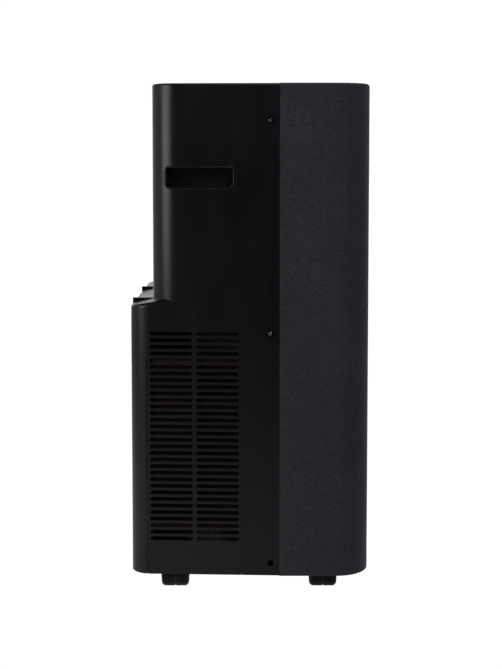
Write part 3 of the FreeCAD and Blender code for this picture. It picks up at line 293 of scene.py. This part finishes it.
class Builder:
    """Collects the vertices and faces of one piece."""

    def __init__(self):
        self.vertices = []
        self.faces = []

    def grid(self, rows, closed_rows=False, closed_columns=False):
        """Faces between rows of points, each row a list of equal length."""
        start, count = len(self.vertices), len(rows[0])
        for row in rows:
            self.vertices.extend(row)
        for i in range(len(rows) if closed_rows else len(rows) - 1):
            following = (i + 1) % len(rows)
            for j in range(count if closed_columns else count - 1):
                beside = (j + 1) % count
                self.faces.append((start + i * count + j, start + i * count + beside,
                                   start + following * count + beside, start + following * count + j))

    def cap(self, row):
        start = len(self.vertices)
        self.vertices.extend(row)
        self.faces.append(tuple(range(start, start + len(row))))

    def tube(self, points, radius, sides=6, closed=False):
        """A round tube along points, its ends capped."""
        rings = []
        count = len(points)
        for i, point in enumerate(points):
            before = points[i - 1] if closed or i > 0 else point
            after = points[(i + 1) % count] if closed or i < count - 1 else point
            along = (Vector(after) - Vector(before)).normalized()
            if rings:
                first = (first - along * first.dot(along)).normalized()
            else:
                first = along.orthogonal().normalized()
            second = along.cross(first)
            rings.append([Vector(point) + first * (radius * math.cos(2 * math.pi * k / sides))
                          + second * (radius * math.sin(2 * math.pi * k / sides)) for k in range(sides)])
        self.grid(rings, closed, True)
        if not closed:
            self.cap(rings[0][::-1])
            self.cap(rings[-1])

    def bar(self, low, high, edge=0.4):
        """A block between two corners with its long edges chamfered."""
        spans = [high[k] - low[k] for k in range(3)]
        along = spans.index(max(spans))
        across, up = [k for k in range(3) if k != along]
        rows = []
        for position in (low[along], high[along]):
            corners = ((low[across] + edge, low[up]), (high[across] - edge, low[up]),
                       (high[across], low[up] + edge), (high[across], high[up] - edge),
                       (high[across] - edge, high[up]), (low[across] + edge, high[up]),
                       (low[across], high[up] - edge), (low[across], low[up] + edge))
            row = []
            for u, v in corners:
                point = [0, 0, 0]
                point[along], point[across], point[up] = position, u, v
                row.append(tuple(point))
            rows.append(row)
        self.grid(rows, False, True)
        self.cap(rows[0][::-1])
        self.cap(rows[1])

    def lathe(self, profile, centre, axis, segments=48):
        """Turns a profile of (radius, height) about an axis through centre."""
        first, second = {"X": ((0, 1, 0), (0, 0, 1)), "Y": ((0, 0, 1), (1, 0, 0)),
                         "Z": ((1, 0, 0), (0, 1, 0))}[axis]
        first, second = Vector(first), Vector(second)
        along = first.cross(second)
        rings = []
        for radius, height in profile:
            rings.append([Vector(centre) + along * height
                          + first * (radius * math.cos(2 * math.pi * k / segments))
                          + second * (radius * math.sin(2 * math.pi * k / segments))
                          for k in range(segments)])
        self.grid(rings, False, True)
        for ring, (radius, _), order in ((rings[0], profile[0], -1), (rings[-1], profile[-1], 1)):
            if radius < 0.8:
                self.cap(ring[::order])

    def piece(self, name, slot, body, smooth=True, angle=None):
        thing = new_piece(name, self.vertices, self.faces, slot, body, smooth)
        if angle is not None:
            thing.data.set_sharp_from_angle(angle=math.radians(angle))
        return thing


def arc(centre, radius, start, end, steps):
    """Points on a circle from start to end degrees."""
    points = []
    for i in range(steps + 1):
        turn = math.radians(start + (end - start) * i / steps)
        points.append((centre[0] + radius * math.cos(turn), centre[1] + radius * math.sin(turn)))
    return points


def rounded_rectangle(width, height, radii, steps=6):
    """Points round a rectangle centred on (0, 0), counter-clockwise from its lower right corner."""
    corners = ((1, -1, -90), (1, 1, 0), (-1, 1, 90), (-1, -1, 180))
    points = []
    for (along, up, start), radius in zip(corners, radii):
        centre = (along * (width / 2 - radius), up * (height / 2 - radius))
        points.extend(arc(centre, radius, start, start + 90, steps))
    return points


# ---------------------------------------------------------------- front fabric

def front_cloth():
    """The knitted cover: one cloth stretched round the front, turned in at the seams, top and bottom."""
    low, high = (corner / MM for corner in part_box("front_fabric"))
    corner, fold, spacing = 46.0, 1.2, 5.0
    ease, thickness = 0.10, 0.9
    seam, front = high.y, low.y

    def side_stretch(start, end):
        steps = max(2, round(abs(end - start) / spacing))
        return [start + (end - start) * i / steps for i in range(steps + 1)]

    plan = []
    for x, y in arc((low.x + fold, seam - fold), fold, 90, 180, 4):
        plan.append(((x, y), (1, 0)))
    for y in side_stretch(seam - fold, front + corner)[1:]:
        plan.append(((low.x, y), (1, 0)))
    for step in range(1, 16):
        turn = math.radians(180 + 90 * step / 16)
        toward = (math.cos(turn), math.sin(turn))
        plan.append(((low.x + corner + corner * toward[0], front + corner + corner * toward[1]),
                     (-toward[0], -toward[1])))
    for x in side_stretch(low.x + corner, 0):
        plan.append(((x, front), (0, 1)))
    plan += [((-x, y), (-inward_x, inward_y)) for (x, y), (inward_x, inward_y) in reversed(plan[:-1])]
    top_round = 4.5
    profile = [(3.4, low.z), (2.2, low.z)]
    profile += [(fold - r, z) for r, z in arc((0, low.z + fold), fold, -90, 0, 4)]
    profile += [(0, z) for z in side_stretch(low.z + fold, high.z - top_round)[1:]]
    profile += [(top_round - r, z) for r, z in arc((0, high.z - top_round), top_round, 0, 90, 6)[1:]]
    profile += [(6.6, high.z), (7.6, high.z - 0.4), (7.9, high.z - 1.2), (7.9, high.z - 2.4)]
    rows = []
    for inset, z in profile:
        row = []
        for (x, y), (inward_x, inward_y) in plan:
            ripple = ease * noise.noise(Vector((x + y, z * 0.7, 3)) / 34)
            depth = inset + ease + ripple
            row.append((x + inward_x * depth, y + inward_y * depth, z))
        rows.append(row)
    builder = Builder()
    builder.grid(rows)
    cloth = builder.piece("front_cloth", "fabric", "root")
    thicken = cloth.modifiers.new("cloth_thickness", "SOLIDIFY")
    thicken.thickness = thickness * MM
    thicken.offset = 1 if cloth.data.polygons[len(cloth.data.polygons) // 4].normal.x > 0 else -1
    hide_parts("front_fabric")


# ---------------------------------------------------------------- slots, grips and their rounded lips

def lips(name, slot, body, outlines, to_space, radius):
    """A rounded lip along each outline on a face. to_space turns a face's (u, v) into a point."""
    builder = Builder()
    for outline in outlines:
        builder.tube([to_space(u, v) for u, v in outline], radius, 6, True)
    return builder.piece(name, slot, body)


def slot_outlines(columns, rows, bottom, length):
    shape = rounded_rectangle(length + 0.25, SLOT_HEIGHT + 0.25, [SLOT_ROUND] * 4, 5)
    return [[(u + column, v + bottom + row * SLOT_PITCH) for u, v in shape]
            for row in rows for column in columns]


def side_face(side, lift):
    """Maps (y, z) to the side wall, lift outside it."""
    return lambda y, z: (side * (side_x(y) + lift), y, z)


def rear_face(face_y, lift):
    return lambda x, z: (x, face_y + lift, z)


def grille_lips():
    side_columns, side_bottom, side_length = (45.1, 110), 80.2, 60.2
    rear_columns, rear_bottom, rear_length = (-74, 0, 74), 84, 62
    intake_columns, intake_bottom, intake_length = (-81, 0, 81), 461, 74
    lip, lift = 0.42, -0.33
    side_rows, rear_rows, intake_rows = range(32), range(14), range(24)
    panel_rows, housing_rows = side_rows[:28], side_rows[28:]
    lips("side_panel_lips", "housing", "side_panel",
         slot_outlines(side_columns, panel_rows, side_bottom, side_length), side_face(-1, lift), lip)
    lips("near_slot_lips", "housing", "root",
         slot_outlines(side_columns, housing_rows, side_bottom, side_length), side_face(-1, lift), lip)
    lips("far_slot_lips", "housing", "root",
         slot_outlines(side_columns, side_rows, side_bottom, side_length), side_face(1, lift), lip)
    lips("rear_slot_lips", "housing", "root",
         slot_outlines(rear_columns, rear_rows, rear_bottom, rear_length), rear_face(REAR_Y, lift), lip)
    lips("intake_slot_lips", "housing", "rear_grille",
         slot_outlines(intake_columns, intake_rows, intake_bottom, intake_length),
         rear_face(UPPER_REAR_Y, lift), lip)


def shelf_cove():
    """The concave fillet where the upper casing stands on the sloping shelf."""
    radius, size, sunk, thickness = 37, 3, 0.05, 0.3
    shelf_front, shelf_height, slope = 104, 419.3, math.tan(math.radians(10))
    lean = math.atan(SIDE_TAPER)
    centre_y = UPPER_REAR_Y - radius
    centre_x = radius / math.cos(lean) - side_x(centre_y)
    side_angle = 180 - math.degrees(lean)
    foot = []
    for turn in range(24, 91, 3):
        angle = math.radians(side_angle - turn * side_angle / 180)
        outward = (math.cos(angle), math.sin(angle))
        gap = radius * (1 - math.cos(math.radians(side_angle) - angle))
        foot.append(((centre_x + radius * outward[0], centre_y + radius * outward[1]), outward,
                     min(size, max(0.2, 0.8 * (gap - 2)))))
    foot += [((-x, y), (-outward_x, outward_y), reach)
             for (x, y), (outward_x, outward_y), reach in reversed(foot)]
    rows = []
    for (x, y), (outward_x, outward_y), reach in foot:
        row = []
        for across, up in arc((reach, reach), reach, 270, 180, 6):
            at_y = y + outward_y * across
            base = shelf_height - (at_y - shelf_front) * slope
            row.append((x + outward_x * across, at_y, base + up - sunk))
        rows.append(row)
    builder = Builder()
    builder.grid(rows)
    cove = builder.piece("shelf_cove", "housing", "root")
    cove.modifiers.new("cove_thickness", "SOLIDIFY").thickness = thickness * MM


def grip_lips():
    front, rear, low, high = 24, 115.2, 572.6, 599.3
    margin, crown, stand = 1.7, 1.2, 0.35
    radii = (8, 5, 5, 10)
    shape = rounded_rectangle(rear - front + 2 * margin, high - low + 2 * margin, radii, 8)
    outline = [(u + (front + rear) / 2, v + (low + high) / 2) for u, v in shape]
    for side, name in ((-1, "near"), (1, "far")):
        lips("grip_lip_" + name, "housing", "root", [outline], side_face(side, stand - crown), crown)


# ---------------------------------------------------------------- filters and coils behind the grilles

def net(name, node, plane, frame_bars, windows, depth, pitch, thread):
    """A filter: rounded frame bars with a woven net of round threads across each window."""
    builder = Builder()

    def at(u, v, w):
        return (w, u, v) if plane == "YZ" else (u, w, v)

    for (u_low, v_low), (u_high, v_high), (w_low, w_high) in frame_bars:
        low, high = at(u_low, v_low, w_low), at(u_high, v_high, w_high)
        builder.bar([min(a, b) for a, b in zip(low, high)], [max(a, b) for a, b in zip(low, high)], 0.5)
    for u_low, v_low, u_high, v_high in windows:
        for i in range(1, round((u_high - u_low) / pitch)):
            u = u_low + i * pitch
            builder.tube([at(u, v_low - 0.5, depth), at(u, v_high + 0.5, depth)], thread, 4)
        for i in range(1, round((v_high - v_low) / pitch)):
            v = v_low + i * pitch
            builder.tube([at(u_low - 0.5, v, depth + thread), at(u_high + 0.5, v, depth + thread)], thread, 4)
    thing = builder.piece(name, "filter", BODY_OF[node], True, 40)
    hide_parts(node)


def framed(u_low, v_low, u_high, v_high, border, middle, w_low, w_high):
    """Bars of a frame with one upright in the middle, and the two windows between them."""
    span = (w_low, w_high)
    lower_bar, upper_bar, half_upright = 11, 15, 1.5
    uprights = ((u_low, u_low + border), (middle - half_upright, middle + half_upright),
                (u_high - border, u_high))
    bars = [((start, v_low), (end, v_high), span) for start, end in uprights]
    bars += [((u_low, start), (u_high, end), span)
             for start, end in ((v_low, v_low + lower_bar), (v_high - upper_bar, v_high))]
    windows = [(uprights[i][1], v_low + lower_bar, uprights[i + 1][0], v_high - upper_bar) for i in (0, 1)]
    return bars, windows


def filters():
    net_depth, thread = 1.3, 0.42
    low, high = (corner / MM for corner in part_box("condenser_filter"))
    bars, windows = framed(low.y, low.z, high.y, high.z, 4, 77.5, low.x, high.x)
    net("condenser_net", "condenser_filter", "YZ", bars, windows, low.x + net_depth, 2.1, thread)
    low, high = (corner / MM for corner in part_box("intake_filter"))
    bars, windows = framed(low.x, low.z, high.x, high.z, 6, 0, low.y, high.y)
    net("intake_net", "intake_filter", "XZ", bars, windows, high.y - net_depth, 2.4, thread)


def fin_stack(name, node, along, pitch, rows):
    """A coil: end plates, close fins with rippled edges, and copper U-bends at both ends."""
    low, high = (list(corner / MM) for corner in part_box(node))
    across = 1 - along
    fins, bends = Builder(), Builder()
    plate, fin_thickness, bend_radius = 1.2, 0.14, 3.6
    for start in (low[along], high[along] - plate):
        first, last = list(low), list(high)
        first[along], last[along] = start, start + plate
        fins.bar(first, last, 0.3)
    count = int((high[along] - low[along] - 6) / pitch)
    for i in range(count):
        position = low[along] + 3.5 + i * pitch
        edges = []
        for z in (low[2] + 2, high[2] - 2):
            edge = []
            for k in range(9):
                point = [0, 0, z]
                point[across] = low[across] + 2 + (high[across] - low[across] - 4) * k / 8
                point[along] = position + 0.22 * (-1) ** k
                edge.append(tuple(point))
            edges.append(edge)
        fins.grid(edges)
    thing = fins.piece(name, "fins", BODY_OF[node], False)
    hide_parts(node)
    thing.modifiers.new("fin_thickness", "SOLIDIFY").thickness = fin_thickness * MM
    rise = (high[2] - low[2]) / rows
    for row in range(rows - 1):
        for column in (0.3, 0.7):
            for end, sign in ((low[along], -1), (high[along], 1)):
                centre = low[across] + (high[across] - low[across]) * column
                middle = low[2] + rise * (row + 1)
                points = []
                for step in range(9):
                    turn = math.pi * step / 8
                    point = [0, 0, middle - rise * 0.36 * math.cos(turn)]
                    point[across] = centre
                    point[along] = end + sign * (rise * 0.30 * math.sin(turn) - 1)
                    points.append(tuple(point))
                if row % 2 == (0 if sign > 0 else 1):
                    bends.tube(points, bend_radius, 10)
    bends.piece(name + "_bends", "copper", BODY_OF[node])


# ---------------------------------------------------------------- turned and small parts

def screws():
    """Pan-head screws with a cross recess, one set of six."""
    builder = Builder()
    seats = ((664.6, 3.2), (369.6, 3.2), (46.3, 13.0))
    dome = [(4.0, 0), (4.0, 0.5)] + [(4 * math.cos(math.radians(a)), 0.5 + 1.75 * math.sin(math.radians(a)))
                                     for a in range(12, 60, 8)] + [(1.9, 2.2), (1.5, 1.1), (0.1, 0.5)]
    shank = [(0.1, -9.4), (1.0, -8.6), (1.9, -6.5), (1.9, 0)]
    for side in (-1, 1):
        for z, floor in seats:
            seat = side * (side_x(SCREW_Y) - floor)
            for profile in (dome, shank):
                builder.lathe([(radius, side * height) for radius, height in profile],
                              (seat, SCREW_Y, z), "X", 32)
            for turn in (40, 130):
                reach = Vector((0, math.cos(math.radians(turn)), math.sin(math.radians(turn)))) * 1.9
                middle = Vector((seat + side * 1.9, SCREW_Y, z))
                builder.tube([middle - reach, middle - reach * 0.4], 0.42, 6)
                builder.tube([middle + reach * 0.4, middle + reach], 0.42, 6)
    thing = builder.piece("case_screw_heads", "screws", "root", True, 35)
    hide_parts("case_screws")


def caster_wheels(corner):
    """Two tyres with a rounded shoulder, tread bands and a dished hub, beside the fork's web."""
    node = "caster_wheels_" + corner
    low, high = (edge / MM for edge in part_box(node))
    centre = (low + high) / 2
    radius, width = (high.z - low.z) / 2, 18.2
    shoulder = 6.2
    outer = high.y - centre.y
    builder = Builder()
    for side in (-1, 1):
        profile = [(3.1, outer - 6.5), (8.5, outer - 6.5), (9.3, outer - 0.9), (10.0, outer - 0.25),
                   (12.6, outer)]
        profile += [(radius - shoulder + r, outer - shoulder + h)
                    for r, h in arc((0, 0), shoulder, 78, 0, 9)]
        for groove in (8.6, 5.4):
            start = outer - shoulder - 9.5 + groove
            profile += [(radius, start + 0.5), (radius - 0.45, start + 0.25), (radius - 0.45, start - 0.25),
                        (radius, start - 0.5)]
        profile += [(radius, outer - width + 0.6), (radius - 0.6, outer - width), (8.6, outer - width),
                    (8.6, outer - width + 4), (3.1, outer - width + 4)]
        builder.lathe([(r, side * h) for r, h in profile], tuple(centre), "Y", 64)
        cap = [(7.9, outer - 5.0), (7.6, outer - 2.2), (6.6, outer - 1.5), (0.3, outer - 1.3)]
        builder.lathe([(r, side * h) for r, h in cap], tuple(centre), "Y", 48)
    thing = builder.piece("wheel_pair_" + corner, "caster_tread", BODY_OF[node], True, 38)
    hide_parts(node)


def buttons():
    """Six domed push buttons, each with a raised plain sign."""
    for name in ("power", "mode", "speed", "cooler", "warmer", "timer"):
        node = name + "_button"
        low, high = (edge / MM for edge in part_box(node))
        x, y, top = (low.x + high.x) / 2, (low.y + high.y) / 2, high.z
        radius = (high.x - low.x) / 2
        builder = Builder()
        profile = [(0.3, low.z), (4, low.z), (4, top - 4.9), (radius, top - 4.9), (radius, top - 0.9)]
        profile += [(radius - 0.7 + r, top - 0.9 + h) for r, h in arc((0, 0), 0.7, 0, 80, 4)]
        profile += [(radius * k, top - 0.2 - 0.35 * (1 - k)) for k in (0.75, 0.5, 0.25, 0.04)]
        builder.lathe(profile, (x, y, 0), "Z", 48)
        cap = builder.piece(node + "_cap", "buttons", BODY_OF[node], True, 50)
        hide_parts(node)
        sign = Builder()
        height = top - 0.30
        bar, ring_radius = 2.2, 2.6
        if name == "power":
            ring = [(x + u, y + v, height) for u, v in arc((0, 0), ring_radius, 120, 420, 24)]
            sign.tube(ring, 0.22)
            sign.tube([(x, y + 0.6, height), (x, y + 3.2, height)], 0.22)
        elif name in ("cooler", "warmer"):
            sign.tube([(x - bar, y, height), (x + bar, y, height)], 0.24)
            if name == "warmer":
                sign.tube([(x, y - bar, height), (x, y + bar, height)], 0.24)
        elif name == "timer":
            face = [(x + u, y + v, height) for u, v in arc((0, 0), ring_radius, 0, 360, 28)]
            sign.tube(face[:-1], 0.2, 6, True)
            sign.tube([(x, y + 1.8, height), (x, y, height), (x + 1.3, y, height)], 0.2)
        else:
            for turn in range(0, 360, 120 if name == "speed" else 60):
                toward = Vector((math.cos(math.radians(turn + 30)), math.sin(math.radians(turn + 30)), 0))
                centre = Vector((x, y, height))
                sign.tube([centre + toward * 0.6, centre + toward * 2.7], 0.2)
        sign.piece(node + "_sign", "capacitor_can", BODY_OF[node])


def control_details():
    """A smoked display window and a row of indicator lenses in the fascia."""
    low, high = (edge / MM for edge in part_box("control_panel"))
    top = high.z
    builder = Builder()
    window = rounded_rectangle(46, 15, [2.5] * 4, 5)
    rows = [[(u * k, v * k - 6, top + lift) for u, v in window]
            for k, lift in ((1, 0.02), (1, 0.25), (0.985, 0.4), (0.9, 0.42))]
    builder.grid(rows, False, True)
    builder.cap(rows[-1])
    for i in range(6):
        x = 30 * (i - 2.5)
        builder.lathe([(1.3, top - 0.2), (1.3, top + 0.15), (0.9, top + 0.4), (0.1, top + 0.5)],
                      (x, low.y + 22, 0), "Z", 20)
    builder.piece("display_and_lenses", "control_gloss", "root", True, 40)


def turned(name, node, slot, profile, centre, segments=72):
    builder = Builder()
    builder.lathe(profile, centre, "Y", segments)
    thing = builder.piece(name, slot, BODY_OF[node], True, 40)
    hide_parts(node)


def rear_fittings():
    """Exhaust ring with a lead-in, cord gland and drain plugs."""
    low, high = (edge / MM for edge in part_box("exhaust_collar"))
    x, z = (low.x + high.x) / 2, (low.z + high.z) / 2
    bore, ring, flange, mouth = 66.0, 73.0, (high.x - low.x) / 2, high.y
    flange_face = 163.8
    profile = [(bore, low.y), (bore, mouth - 1.6), (bore + 0.5, mouth - 0.6), (bore + 1.6, mouth),
               (ring - 1.6, mouth), (ring - 0.5, mouth - 0.5), (ring, mouth - 1.6), (ring, mouth - 2.0),
               (ring, mouth - 2.2), (flange - 0.4, mouth - 2.2), (flange, mouth - 3.0), (flange, mouth - 4.4),
               (ring, mouth - 4.8), (ring, low.y), (bore, low.y)]
    profile = [(radius, min(height, flange_face) if radius > ring else height)
               for radius, height in profile]
    turned("exhaust_ring", "exhaust_collar", "housing", profile, (x, 0, z), 96)
    low, high = (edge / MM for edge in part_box("cord_gland"))
    x, z = (low.x + high.x) / 2, (low.z + high.z) / 2
    mouth = high.y
    profile = [(4, low.y), (4, mouth - 0.8), (4.6, mouth), (7.8, mouth), (9, mouth - 1.2), (9, mouth - 5.2),
               (9, low.y), (4, low.y)]
    turned("gland_bush", "cord_gland", "rubber", profile, (x, 0, z), 48)
    for prefix in ("upper", "lower"):
        node = prefix + "_drain_plug"
        low, high = (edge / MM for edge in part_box(node))
        x, z = (low.x + high.x) / 2, (low.z + high.z) / 2
        out = high.y
        profile = [(0.3, low.y), (4.6, low.y), (5.9, low.y + 1.4), (5.9, out - 3.2), (8, out - 3.2),
                   (8, out - 1.0), (7.1, out - 0.1), (4.5, out), (4.2, out - 0.8), (0.3, out - 0.9)]
        turned(prefix + "_plug_cap", node, "rubber", profile, (x, 0, z), 48)


# ---------------------------------------------------------------- stage, lights and camera

# the studio, in metres and watts
GROUND_RADIUS = 30
WHITE = 1.05
FLOOR_RADIUS = 2.2
GLOW_OUTWARD = (0.4, 1.4, 0.28, 0.05)
GLOW_REARWARD = (-0.35, 0.5, -0.12, 0.31)
WORLD_FILL = 0.032
FAR_GLOW = 1.0
REAR_GLOW = 0.38
FAR_X = 2.6
REAR_Y_BACKDROP = 2.4
BACKDROP_TOP = 2.2
LIGHTS = (
    ("rear_softbox", (-1.02, 1.4, 0.85), (0, 0.05, 0.55), 1.0, 1.1, 11.5),
    ("overhead", (0.3, -0.4, 2.4), (0, 0, 0.4), 1.2, 1.2, 5),
    ("key", (-2.1, -0.5, 2.1), (0, 0, 0.4), 0.9, 0.9, 15),
    ("front_fill", (-0.3, -2.5, 1.1), (0, 0, 0.4), 1.6, 1.4, 7),
)


def emitter(name, colour, strength):
    material = bpy.data.materials.new(name)
    material.use_nodes = True
    tree = material.node_tree
    tree.nodes.clear()
    glow = tree.nodes.new("ShaderNodeEmission")
    glow.inputs["Color"].default_value = (*colour, 1)
    glow.inputs["Strength"].default_value = strength
    out = tree.nodes.new("ShaderNodeOutputMaterial")
    tree.links.new(glow.outputs["Emission"], out.inputs["Surface"])
    return material


def stage_disc(name, radius, height, material, segments=64):
    mesh = bpy.data.meshes.new(name)
    turns = [2 * math.pi * k / segments for k in range(segments)]
    rim = [(radius * math.cos(turn), radius * math.sin(turn), height) for turn in turns]
    mesh.from_pydata(rim, [], [tuple(range(segments))])
    disc = bpy.data.objects.new(name, mesh)
    bpy.context.scene.collection.objects.link(disc)
    mesh.materials.append(material)
    return disc


def area_light(name, place, target, width, height, power):
    light = bpy.data.lights.new(name, "AREA")
    light.shape = "RECTANGLE"
    light.size, light.size_y = width, height
    light.energy = power
    lamp = bpy.data.objects.new(name, light)
    bpy.context.scene.collection.objects.link(lamp)
    lamp.location = place
    lamp.rotation_mode = "QUATERNION"
    lamp.rotation_quaternion = (Vector(target) - Vector(place)).to_track_quat("-Z", "Y")


def panel(name, corners, strength):
    """A glowing flat backdrop that only the object's gloss and shade can see."""
    mesh = bpy.data.meshes.new(name)
    mesh.from_pydata(corners, [], [tuple(range(len(corners)))])
    mesh.materials.append(emitter(name, (1, 1, 1), strength))
    backdrop = bpy.data.objects.new(name, mesh)
    bpy.context.scene.collection.objects.link(backdrop)
    backdrop.visible_camera = False


def floor_glow():
    """The floor's bounce: strongest beside the object and on its rear left, and fading outward."""
    material = emitter("floor_bounce", (1, 1, 1), 1)
    nodes, links = material.node_tree.nodes, material.node_tree.links
    place = nodes.new("ShaderNodeTexCoord").outputs["Object"]
    away = nodes.new("ShaderNodeVectorMath")
    away.operation = "LENGTH"
    links.new(place, away.inputs[0])
    split = nodes.new("ShaderNodeSeparateXYZ")
    links.new(place, split.inputs[0])
    total = nodes.new("ShaderNodeMath")
    total.operation = "ADD"
    for index, (source, ramp) in enumerate(((away.outputs["Value"], GLOW_OUTWARD),
                                            (split.outputs["Y"], GLOW_REARWARD))):
        spread = nodes.new("ShaderNodeMapRange")
        for socket, setting in zip(("From Min", "From Max", "To Min", "To Max"), ramp):
            spread.inputs[socket].default_value = setting
        links.new(source, spread.inputs["Value"])
        links.new(spread.outputs["Result"], total.inputs[index])
    links.new(total.outputs["Value"], nodes["Emission"].inputs["Strength"])
    return material


def studio():
    """A pale floor that runs out to a white ground, two glowing backdrops, four soft lights, weak fill."""
    seen = stage_disc("pale_floor", GROUND_RADIUS, -0.0005, emitter("white_ground", (1, 1, 1), WHITE))
    seen.visible_diffuse = seen.visible_glossy = False
    bounce = stage_disc("floor_bounce", FLOOR_RADIUS, -0.001, floor_glow())
    bounce.visible_camera = False
    far, rear, top = FAR_X, REAR_Y_BACKDROP, BACKDROP_TOP
    panel("far_backdrop", [(far, -2, 0), (far, 2, 0), (far, 2, top), (far, -2, top)], FAR_GLOW)
    panel("rear_backdrop", [(-0.4, rear, 0), (far, rear, 0), (far, rear, top), (-0.4, rear, top)], REAR_GLOW)
    world = bpy.data.worlds.new("studio")
    bpy.context.scene.world = world
    world.use_nodes = True
    tree = world.node_tree
    ground = tree.nodes["Background"]
    ground.inputs["Color"].default_value = (1, 1, 1, 1)
    path = tree.nodes.new("ShaderNodeLightPath")
    seen_or_lit = tree.nodes.new("ShaderNodeMapRange")
    seen_or_lit.inputs["To Min"].default_value = WORLD_FILL
    seen_or_lit.inputs["To Max"].default_value = WHITE
    tree.links.new(path.outputs["Is Camera Ray"], seen_or_lit.inputs["Value"])
    tree.links.new(seen_or_lit.outputs["Result"], ground.inputs["Strength"])
    for name, place, target, width, height, power in LIGHTS:
        area_light(name, place, target, width, height, power)


def camera():
    distance, height, tilt = 1.72, 0.62, math.radians(4.1)
    lens = bpy.data.cameras.new("camera")
    lens.sensor_width = 36
    lens.lens = 67.45
    lens.shift_x = 0.0014
    lens.shift_y = -0.137
    eye = bpy.data.objects.new("camera", lens)
    bpy.context.scene.collection.objects.link(eye)
    eye.location = (CAD_LOW.x - distance, 0, height)
    eye.rotation_mode = "QUATERNION"
    eye.rotation_quaternion = Vector((math.cos(tilt), 0, -math.sin(tilt))).to_track_quat("-Z", "Y")
    bpy.context.scene.camera = eye


# ---------------------------------------------------------------- making

bpy.context.scene.view_settings.view_transform = "Standard"
camera()
studio()
for node, thing in NODES.items():
    thing.data.materials.clear()
    thing.data.materials.append(MATERIALS[SLOT_OF[node]])
front_cloth()
grille_lips()
grip_lips()
shelf_cove()
filters()
fin_stack("condenser_fins", "condenser_coil", 1, 1.9, 11)
fin_stack("evaporator_fins", "evaporator_coil", 0, 2.2, 10)
screws()
for corner_name in ("near_rear", "near_front", "far_rear", "far_front"):
    caster_wheels(corner_name)
buttons()
control_details()
rear_fittings()
